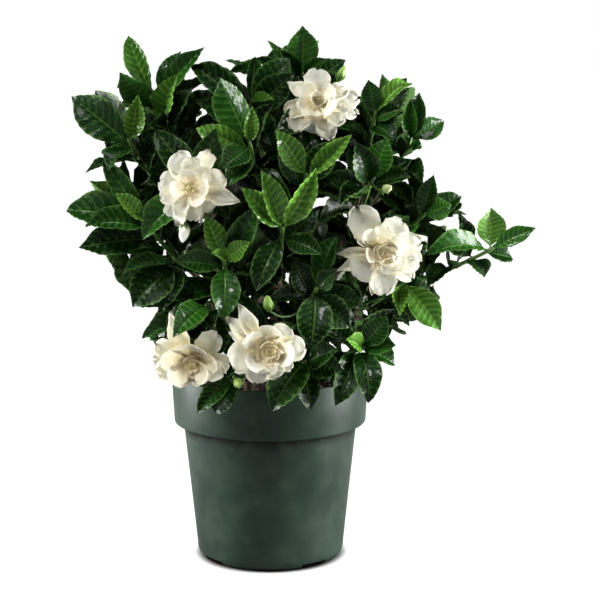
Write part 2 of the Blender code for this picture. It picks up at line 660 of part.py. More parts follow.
def rule_blade(found, crowds, rng, name, share, turn, length, lift, forms):
    """One leaf made by rule: out from the shoot, lifted towards its tip."""
    base, ahead = at_share(found[name][2], share)
    across = ahead.orthogonal().normalized()
    for attempt in range(TRIES):
        loose = attempt / TRIES
        angle = turn + rng.uniform(-1.2, 1.2) * loose
        out = Matrix.Rotation(angle, 3, ahead) @ across
        raised = math.radians(lift + rng.uniform(-30, 30) * loose)
        reach = length * (1 - 0.3 * loose) * rng.uniform(0.88, 1.08)
        tip = base + (out * math.cos(raised) + ahead * math.sin(raised) + Vector((0, 0, 0.12))) * reach
        width = reach * rng.uniform(*WIDTH_SHARE)
        form, hand = rng.choice(forms), rng.choice(HANDS)
        face = ahead + Vector((0, 0, 0.7)) + Vector((rng.uniform(-1, 1), rng.uniform(-1, 1), 0)) * 0.35
        outwards = Vector((tip.x - BACK_SHIFT, SKIRT_DEPTH * tip.y)).length
        if tip.z < LOWEST_TIP or outwards > SKIRT_REACH + SKIRT_SPREAD * (tip.z - LOWEST_TIP):
            continue
        if tip.x > HOLLOW[0] and tip.z > HOLLOW[1]:
            continue
        matrix = try_blade(crowds, name, base, tip, width, form, hand, face)
        if matrix:
            sections = PLAIN_SECTIONS if abs(FORMS[form][0]) < PLAIN_BEND else SECTIONS
            return [(name, matrix, form, hand, sections)]
    return []


def rule_blades(found, crowd, rng):
    """The leaves of the far side's shoots, and those low on the show side's shoots."""
    blades = []
    crowds = [crowd, sight_guard()]
    for name in back_shoots():
        for row, (share, length, lift, forms) in enumerate(RULE_ROWS):
            for i in range(WHORL):
                turn = math.tau * (i / WHORL + 0.5 * row / WHORL) + rng.uniform(-0.3, 0.3)
                place = share - 0.03 * i
                blades += rule_blade(found, crowds, rng, name, place, turn, length, lift, forms)
    for name in SHOOTS:
        for share in FILL_SHARES:
            turn = rng.uniform(0, math.tau)
            length = rng.uniform(46, 60)
            blades += rule_blade(found, crowds, rng, name, share, turn, length, FILL_LIFT, FILL_FORMS)
    return blades


def grow():
    """The branches by shoot, and every blade as (shoot, matrix, form, hand, sections)."""
    rng = random.Random(SEED)
    found = branches()
    crowd = crowd_of(found)
    blades = hand_set_blades(found, crowd, rng)
    return found, blades + rule_blades(found, crowd, rng)




# ---------------------------------------------------------------- petals
# Whorls of a flower: how many petals, how far from the axis and how high they start, the
# angle from the axis at foot and tip, length and width in flower radii, and cup depth.
OPEN_WHORLS = (
    (6, 4.0, 0.0, 68, 104, 0.95, 0.78, 0.16),
    (5, 4.0, 5.0, 46, 74, 0.72, 0.60, 0.20),
)
ROSE_WHORLS = (
    (6, 4.0, 0.0, 60, 112, 0.97, 0.84, 0.20),
    (5, 4.0, 5.0, 36, 62, 0.74, 0.66, 0.30),
)
WHORLS = {
    "upper_left": OPEN_WHORLS, "top": OPEN_WHORLS, "right": ROSE_WHORLS,
    "lower_left": ROSE_WHORLS, "lower_centre": ROSE_WHORLS,
}
PETAL_SECTIONS = ((0.0, 2), (0.6, 3), (1.0, 2))
PETAL_FOOT, PETAL_END = 0.30, 0.45      # share of the width at a petal's foot and end
PETAL_ROLL = 13.0               # degrees; one margin lies over the next petal's
PETAL_SWAY = (0.7, 4.0)         # how much petals of a whorl differ in height and in angle at the foot
WHORL_TURN = 0.37               # how far each whorl is turned past the one outside it, in petals
# Outlines, as (radius, place along the flower's axis) in millimetres: the green calyx and
# the heart of the flower with its tube.
CALYX_ROUND = ((4.4, -12.0), (4.7, -15.0), (3.6, -20.0), (1.5, -23.0), (1.4, JOINT_GAP - FLOWER_STAND))
HEART_ROUND = ((5.5, 13.0), (8.2, 7.0), (8.2, -1.0), (3.6, -5.0), (2.8, GAP - 12.0))
HEART_TOP = 16.0
# A bud's outline as (radius, place along its axis) in bud lengths, from its tip down.
BUD_ROUND = ((0.13, 0.35), (0.25, 0.05), (0.24, -0.20), (0.12, -0.40), (0.09, -BUD_FOOT))
TURNED_SIDES = 8                # sides of calyxes, hearts and buds
WELD = 0.00001                  # metres; points nearer than this are one


def petal_width(s):
    """Share of a petal's full width at share s of its length."""
    if s < 0.55:
        return PETAL_FOOT + (1 - PETAL_FOOT) * math.sin(math.pi / 2 * s / 0.55)
    return PETAL_END + (1 - PETAL_END) * math.cos(math.pi / 2 * (s - 0.55) / 0.45)


def petal_point(whorl, radius, turn, s, u):
    """The point of a petal at share s of its length and u (-1 to 1) across it."""
    _, foot, height, first, last, length, width, cup = whorl
    height += PETAL_SWAY[0] * math.sin(3.7 * turn)
    first += PETAL_SWAY[1] * math.sin(5.3 * turn)
    pieces = 8
    out, up = foot, height
    for i in range(pieces):
        angle = math.radians(first + (last - first) * (i + 0.5) / pieces * s)
        out += math.sin(angle) * length * radius * s / pieces
        up += math.cos(angle) * length * radius * s / pieces
    angle = math.radians(first + (last - first) * s)
    half = 0.5 * width * radius * petal_width(s)
    roll = math.radians(PETAL_ROLL)
    lift = cup * half * u * u + u * half * math.sin(roll)
    side = u * half * math.cos(roll)
    point = Vector((out - math.cos(angle) * lift, side, up + math.sin(angle) * lift))
    return Matrix.Rotation(turn, 3, "Z") @ point


def petal_sections(whorl, radius, turn):
    across = {2: (-1, 1), 3: (-1, 0, 1)}
    return [[petal_point(whorl, radius, turn, s, u) for u in across[count]] for s, count in PETAL_SECTIONS]


# ---------------------------------------------------------------- making things
MATERIALS = {
    "pot_plastic": ((0.045, 0.066, 0.052), 0.42),
    "soil": ((0.022, 0.014, 0.009), 0.95),
    "bark": ((0.16, 0.11, 0.065), 0.8),
    "leaf": ((0.018, 0.085, 0.014), 0.32),
    "calyx": ((0.09, 0.22, 0.03), 0.45),
    "petal": ((0.90, 0.87, 0.76), 0.55),
    "bud": ((0.42, 0.52, 0.22), 0.5),
}


def clear_scene():
    for found in list(bpy.data.objects):
        bpy.data.objects.remove(found, do_unlink=True)


def new_collection(name):
    made = bpy.data.collections.new(name)
    bpy.context.scene.collection.children.link(made)
    return made


def material(name):
    found = bpy.data.materials.get(name)
    if found:
        return found
    colour, roughness = MATERIALS[name]
    made = bpy.data.materials.new(name)
    made.use_nodes = True
    shader = made.node_tree.nodes["Principled BSDF"]
    shader.inputs["Base Color"].default_value = (*colour, 1.0)
    shader.inputs["Roughness"].default_value = roughness
    shader.inputs["Metallic"].default_value = 0.0
    return made


def mesh_object(name, points, faces, collection, finish):
    """An object from points in millimetres."""
    mesh = bpy.data.meshes.new(name)
    mesh.from_pydata([p * MM for p in points], [], faces)
    mesh.materials.append(material(finish))
    made = bpy.data.objects.new(name, mesh)
    collection.objects.link(made)
    return made


def make_helper(helper):
    """Keeps an object out of renders: it only shapes another."""
    helper.hide_render = True
    helper.display_type = "WIRE"
    return helper


def turned_object(name, profile, sides, collection, finish):
    """A turned solid from a profile of (radius, height) that runs down its outer side."""
    points = [Vector((radius, 0, height)) for radius, height in profile]
    made = mesh_object(name, points, [], collection, finish)
    mesh = made.data
    mesh.edges.add(len(points) - 1)
    for i, edge in enumerate(mesh.edges):
        edge.vertices = (i, i + 1)
    screw = made.modifiers.new("turn", "SCREW")
    screw.angle = math.tau
    screw.steps = screw.render_steps = sides
    screw.use_merge_vertices = True
    screw.merge_threshold = WELD
    screw.use_smooth_shade = True
    return made


def place_along(made, centre, axis):
    """Stands an object made along +Z on a point, along an axis."""
    made.location = Vector(centre) * MM
    made.rotation_euler = axis.to_track_quat("Z", "Y").to_euler()


def tube_object(name, path, radii, collection, finish, fineness=1):
    """A round tube of changing radius along a path in millimetres, as a closed mesh."""
    curve = bpy.data.curves.new(name, "CURVE")
    curve.dimensions = "3D"
    curve.bevel_depth = MM
    curve.bevel_resolution = fineness
    curve.use_fill_caps = True
    spline = curve.splines.new("POLY")
    spline.points.add(len(path) - 1)
    for point, place, radius in zip(spline.points, path, radii):
        point.co = (*(place * MM), 1.0)
        point.radius = radius
    drawn = bpy.data.objects.new(name + "_curve", curve)
    collection.objects.link(drawn)
    graph = bpy.context.evaluated_depsgraph_get()
    mesh = bpy.data.meshes.new_from_object(drawn.evaluated_get(graph))
    welded = bmesh.new()
    welded.from_mesh(mesh)
    bmesh.ops.remove_doubles(welded, verts=welded.verts, dist=WELD)
    bmesh.ops.recalc_face_normals(welded, faces=welded.faces)
    welded.to_mesh(mesh)
    welded.free()
    mesh.name = name
    mesh.materials.clear()
    mesh.materials.append(material(finish))
    made = bpy.data.objects.new(name, mesh)
    made.matrix_world = drawn.matrix_world
    collection.objects.link(made)
    bpy.data.objects.remove(drawn, do_unlink=True)
    return made


def join_shapes(made, helpers, label):
    """Unites an object with helper objects, each a closed shape or sheets made solid."""
    for i, helper in enumerate(helpers):
        union = made.modifiers.new(f"{label}_{i}", "BOOLEAN")
        union.operation = "UNION"
        union.solver = "EXACT"
        union.use_self = True
        union.object = make_helper(helper)


def cut_shapes(made, helpers, label):
    for i, helper in enumerate(helpers):
        cut = made.modifiers.new(f"{label}_{i}", "BOOLEAN")
        cut.operation = "DIFFERENCE"
        cut.solver = "EXACT"
        cut.object = make_helper(helper)


def lens(sections, rib):
    """A closed shape round a sheet given as sections: thick along its middle, sharp at its margins."""
    counts = [len(row) for row in sections]
    points = [p for row in sections for p in row]
    faces = strip_faces(counts)
    lower = {}
    for row, count in enumerate(counts):
        if count != 3:
            continue
        middle = sum(counts[:row]) + 1
        ahead = points[middle] - sections[row - 1][len(sections[row - 1]) // 2]
        across = points[middle + 1] - points[middle - 1]
        normal = across.cross(ahead).normalized() * rib / 2
        lower[middle] = len(points)
        points.append(points[middle] - normal)
        points[middle] = points[middle] + normal
    under = [tuple(lower.get(i, i) for i in reversed(face)) for face in faces]
    return points, faces + under


def lenses_object(name, sheets, rib, collection, finish):
    """Leaves or petals, each a closed shape of its own, in one helper object."""
    points, faces = [], []
    for sections in sheets:
        more, round_it = lens(sections, rib)
        faces += [tuple(i + len(points) for i in face) for face in round_it]
        points += more
    return mesh_object(name, points, faces, collection, finish)


# ---------------------------------------------------------------- the pot and its soil
def arc(centre, radius, first, last, pieces):
    """Points of an arc in the (radius, height) plane, angles in degrees from +radius."""
    angles = [math.radians(first + (last - first) * i / pieces) for i in range(pieces + 1)]
    return [(centre[0] + radius * math.cos(a), centre[1] + radius * math.sin(a)) for a in angles]


def inner_wall(clear):
    """The wall's inside from its foot to the soil's edge, moved inwards by `clear`."""
    step = POT_WALL + clear
    foot = POT_FOOT_RADIUS - step
    return [
        (foot - 5.0, POT_FLOOR + clear),
        (foot, POT_FLOOR + 6.0),
        (POT_NECK_RADIUS - step, POT_BAND_FROM - 2.5),
        (POT_BAND_RADIUS - step - 0.6, POT_BAND_FROM + 2.0 + clear),
    ]


def make_pot(collection, cutters):
    """A thin wall with a deep rim band, and a floor that stands on its centre and a ring."""
    wall = inner_wall(0.0)
    lip = POT_WALL / 2
    corner = (POT_FOOT_RADIUS - POT_FOOT_ROUND, POT_FOOT_ROUND)
    profile = [(0.0, CENTRE_TOP), (POT_CENTRE_RADIUS, CENTRE_TOP), (POT_CENTRE_RADIUS + 3.5, POT_FLOOR)]
    profile += wall
    profile += arc((POT_RIM_RADIUS - lip, POT_HEIGHT - lip), lip, 180, 0, 3)
    profile += [(POT_BAND_RADIUS, POT_BAND_FROM + 2.0), (POT_BAND_RADIUS - 1.5, POT_BAND_FROM)]
    profile += [(POT_NECK_RADIUS + 0.6, POT_BAND_FROM - 2.0), (POT_NECK_RADIUS, POT_BAND_FROM - 5.0)]
    profile += arc(corner, POT_FOOT_ROUND, 8, -90, 4)
    profile += [(FOOT_RING[0], 0.0), (FOOT_RING[0] - 1.5, POT_FLOOR_UNDER)]
    profile += [(POT_CENTRE_RADIUS + 2.0, POT_FLOOR_UNDER), (POT_CENTRE_RADIUS, 0.0), (0.0, 0.0)]
    pot = turned_object("nursery_pot", profile, POT_SIDES, collection, "pot_plastic")
    notches = []
    for i in range(DRAIN_COUNT):
        turn = math.radians(DRAIN_TURN) + math.tau * i / DRAIN_COUNT
        way = Vector((math.cos(turn), math.sin(turn), 0))
        bpy.ops.mesh.primitive_cube_add(size=1, location=way * NOTCH_AT * MM)
        notch = bpy.context.object
        notch.name = f"drain_notch_{i + 1}"
        notch.scale = Vector((NOTCH_DEPTH, DRAIN_WIDTH, 2 * DRAIN_HEIGHT)) * MM
        notch.rotation_euler = (0, 0, turn)
        bpy.ops.mesh.primitive_cylinder_add(vertices=12, radius=DRAIN_HOLE[1] * MM, depth=NOTCH_DEPTH * MM,
                                            location=way * DRAIN_HOLE[0] * MM)
        hole = bpy.context.object
        hole.name = f"drain_hole_{i + 1}"
        for cutter in (notch, hole):
            for owner in list(cutter.users_collection):
                owner.objects.unlink(cutter)
            cutters.objects.link(cutter)
            notches.append(cutter)
    cut_shapes(pot, notches, "drain")
    return pot


def make_soil(collection, cutters):
    """The cake of potting soil, crowned round the stems, with a socket for each of them."""
    wall = inner_wall(GAP)
    edge = wall[-1][0] + 0.4
    rise = ((0.0, 1.0), (32.0, 0.8), (60.0, 0.3))
    crown = [(radius, SOIL_TOP + share * SOIL_CROWN) for radius, share in rise]
    profile = crown + [(edge - 2.0, SOIL_TOP), (edge, SOIL_TOP - 2.0)] + wall[::-1]
    low = CENTRE_TOP + GAP
    profile += [(POT_CENTRE_RADIUS + 3.5 - GAP, POT_FLOOR + GAP), (POT_CENTRE_RADIUS - GAP, low), (0.0, low)]
    soil = turned_object("potting_soil", profile, POT_SIDES // 2, collection, "soil")
    sockets = []
    for stem, points in STEMS.items():
        path = smooth_path(points, STEM_STEPS)
        radii = [r + GAP for r in radii_along(path, *STEM_RADIUS)]
        low = path[0] - (path[1] - path[0]).normalized() * GAP
        deep = [low] + path[1:STEM_STEPS * 2]
        sockets.append(tube_object(stem + "_socket", deep, radii[:len(deep)], cutters, "soil"))
    cut_shapes(soil, sockets, "socket")
    return soil


# ---------------------------------------------------------------- the bush
def end_back(path, length):
    """The path with its last point drawn back by a length."""
    back = (path[-2] - path[-1]).normalized() * length
    return path[:-1] + [path[-1] + back]


def make_woody_stems(found, collection, cutters):
    """Each woody stem with the woody pieces of its branches."""
    for stem, points in STEMS.items():
        path = smooth_path(points, STEM_STEPS)
        made = tube_object(stem, path, radii_along(path, *STEM_RADIUS), collection, "bark")
        arms = []
        for name, (owner, woody, _) in found.items():
            if owner == stem:
                arm = end_back(woody, JOINT_GAP / 2)
                radii = radii_along(arm, BRANCH_RADIUS, BRANCH_RADIUS)
                arms.append(tube_object(name + "_branch", arm, radii, cutters, "bark"))
        join_shapes(made, arms, "branch")


def make_shoots(found, blades, collection, cutters):
    """Each green shoot with its leaves and the stalks of its buds."""
    for name, (_, _, green) in found.items():
        path = end_back(end_back(green, JOINT_GAP / 2)[::-1], JOINT_GAP / 2)[::-1]
        made = tube_object(name, path, radii_along(path, *SHOOT_RADIUS), collection, "leaf", 0)
        sheets = [[[matrix @ p for p in row] for row in blade_sections(form, hand, sections)]
                  for owner, matrix, form, hand, sections in blades if owner == name]
        helpers = [lenses_object(name + "_blades", sheets, BLADE_RIB, cutters, "leaf")]
        for key, bud in BUDS.items():
            if bud[0] == name:
                stalk = bud_path(key, green)
                radii = radii_along(stalk, *BUD_STALK)
                helpers.append(tube_object(f"bud_{key}_stalk", stalk, radii, cutters, "leaf", 0))
        join_shapes(made, helpers, "leaves")


def make_flowers(collection, cutters):
    """Each flower's calyx, and its corolla: a tube with petals round a folded heart."""
    for key, (centre, _, radius) in FLOWERS.items():
        axis = flower_axis(key)
        profile = [(0, CALYX_ROUND[0][1]), *CALYX_ROUND, (0, CALYX_ROUND[-1][1])]
        calyx = turned_object(f"calyx_{key}", profile, TURNED_SIDES, collection, "calyx")
        place_along(calyx, centre, axis)
        profile = [(0, HEART_TOP), *HEART_ROUND, (0, HEART_ROUND[-1][1])]
        corolla = turned_object(f"flower_{key}", profile, TURNED_SIDES, collection, "petal")
        place_along(corolla, centre, axis)
        sheets = []
        for row, whorl in enumerate(WHORLS[key]):
            for i in range(whorl[0]):
                turn = math.tau * (i / whorl[0] + WHORL_TURN * row)
                sheets.append(petal_sections(whorl, radius, turn))
        petals = lenses_object(f"flower_{key}_petals", sheets, PETAL_RIB, cutters, "petal")
        place_along(petals, centre, axis)
        join_shapes(corolla, [petals], "petals")


def make_buds(collection):
    for key, (_, _, centre, length, way) in BUDS.items():
        pod = [(radius * length, place * length) for radius, place in BUD_ROUND]
        profile = [(0, length / 2), *pod, (0, pod[-1][1])]
        bud = turned_object(f"bud_{key}", profile, TURNED_SIDES, collection, "bud")
        place_along(bud, centre, Vector(way).normalized())


def main():
    clear_scene()
    parts = new_collection("potted_gardenia")
    cutters = new_collection("cutters")
    found, blades = grow()
    make_pot(parts, cutters)
    make_soil(parts, cutters)
    make_woody_stems(found, parts, cutters)
    make_shoots(found, blades, parts, cutters)
    make_flowers(parts, cutters)
    make_buds(parts)


main()
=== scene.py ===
"""The looks of the potted gardenia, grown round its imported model.

Each leafy shoot, woody stem, flower, calyx and bud stands for the node of the same name.
Places and sizes in the tables are in millimetres, and finished pieces are in metres.
-Y is the show side.
"""

import math
import random

import bmesh
import bpy
from mathutils import Matrix, Vector, noise
from mathutils.bvhtree import BVHTree


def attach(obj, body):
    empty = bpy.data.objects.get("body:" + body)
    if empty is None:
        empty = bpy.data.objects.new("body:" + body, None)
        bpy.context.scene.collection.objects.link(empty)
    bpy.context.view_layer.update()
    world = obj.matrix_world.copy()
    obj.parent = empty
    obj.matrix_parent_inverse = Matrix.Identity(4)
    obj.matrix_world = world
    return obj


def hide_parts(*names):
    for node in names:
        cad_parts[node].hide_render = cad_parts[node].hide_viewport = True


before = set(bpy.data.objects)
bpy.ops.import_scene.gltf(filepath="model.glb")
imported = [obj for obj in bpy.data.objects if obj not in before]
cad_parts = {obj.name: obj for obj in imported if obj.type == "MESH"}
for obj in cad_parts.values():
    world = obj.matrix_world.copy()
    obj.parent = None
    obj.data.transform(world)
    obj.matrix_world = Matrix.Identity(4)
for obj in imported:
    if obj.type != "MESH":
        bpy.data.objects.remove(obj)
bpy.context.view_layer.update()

MM = 0.001
SEED = 20

# ---------------------------------------------------------------- pot and soil
POT_RIM_RADIUS = 82.0           # outside of the rim at its top
POT_BAND_RADIUS = 80.0          # outside of the rim band at its lower shoulder
POT_NECK_RADIUS = 72.0          # outside of the body just under the band
POT_FOOT_RADIUS = 61.5          # outside of the body just over its round foot
POT_HEIGHT = 155.0
POT_BAND_FROM = 114.0
POT_WALL = 1.8
POT_FOOT_ROUND = 8.0
SOIL_TOP = 134.0                # at the wall
SOIL_CROWN = 3.0                # how far the soil rises from the wall to the stems
GAP = 0.3                       # clearance of the soil at the wall and of the stems in the soil
JOINT_GAP = 0.5                 # clearance where a green shoot meets its woody branch

# ---------------------------------------------------------------- the bush
# Woody stems as points from inside the soil upwards.
STEMS = {
    "left": [(-15, -2, 112), (-19, -5, 160), (-31, -8, 215), (-47, -6, 270), (-54, 2, 325)],
    "centre": [(3, 8, 112), (3, 12, 170), (6, 14, 240), (8, 12, 300), (12, 8, 350)],
    "right": [(19, -4, 112), (27, -5, 160), (42, -2, 210), (60, 2, 255), (74, 6, 300)],
}
STEM_RADIUS = (5.4, 3.3)        # at a stem's foot and at its top
BRANCH_RADIUS = 2.2
SHOOT_RADIUS = (2.1, 1.3)       # at a green shoot's foot and at its tip
WOODY_SHARE = 0.5               # how much of a branch is woody; the rest is a green shoot
STEM_STEPS = 3                  # pieces between two of a woody stem's points
BRANCH_STEPS = 6                # pieces of a branch with its green shoot
TUBE_SIDES = 6                  # sides of the tubes that blades are kept clear of

# Blade forms: how far the tip turns down and how far each half folds up, in degrees.
FORMS = {
    "open": (24, 12), "arch": (60, 14), "droop": (96, 12),
    "fold": (12, 46), "trough": (40, 28), "rise": (-18, 20),
}
HANDS = (-1, 1, 0)              # which way a blade twists, or that it stays straight
TWIST = 16.0                    # degrees at the tip
WAVE = 0.010                    # height of the margin's waves, in blade lengths
PETIOLE = 0.10                  # share of a blade's length that is its stalk
PETIOLE_HALF = 0.013            # half width of that stalk
BLADE_HALF = 0.21               # half width of a blade of unit length
BLADE_PEAK = 0.3209             # the largest value of the outline's formula
MARGINS = (-1, 0, 1)            # a blade's left margin, mid rib and right margin
SECTIONS = ((0.0, (0,)), (0.42, MARGINS), (0.74, MARGINS), (1.0, (0,)))     # share of the length, points across
STALK_SHARE = 0.45              # how far out the free part of a blade starts, to its widest part
CLEAR = 1.0                     # half thickness that blades and stems are kept clear with
SPREAD_CLEAR = 1.04             # and how much wider than itself a blade is kept clear
BLADE_ARCH = (1.4, 12)          # how late a blade bends along its length, and pieces to bend it in

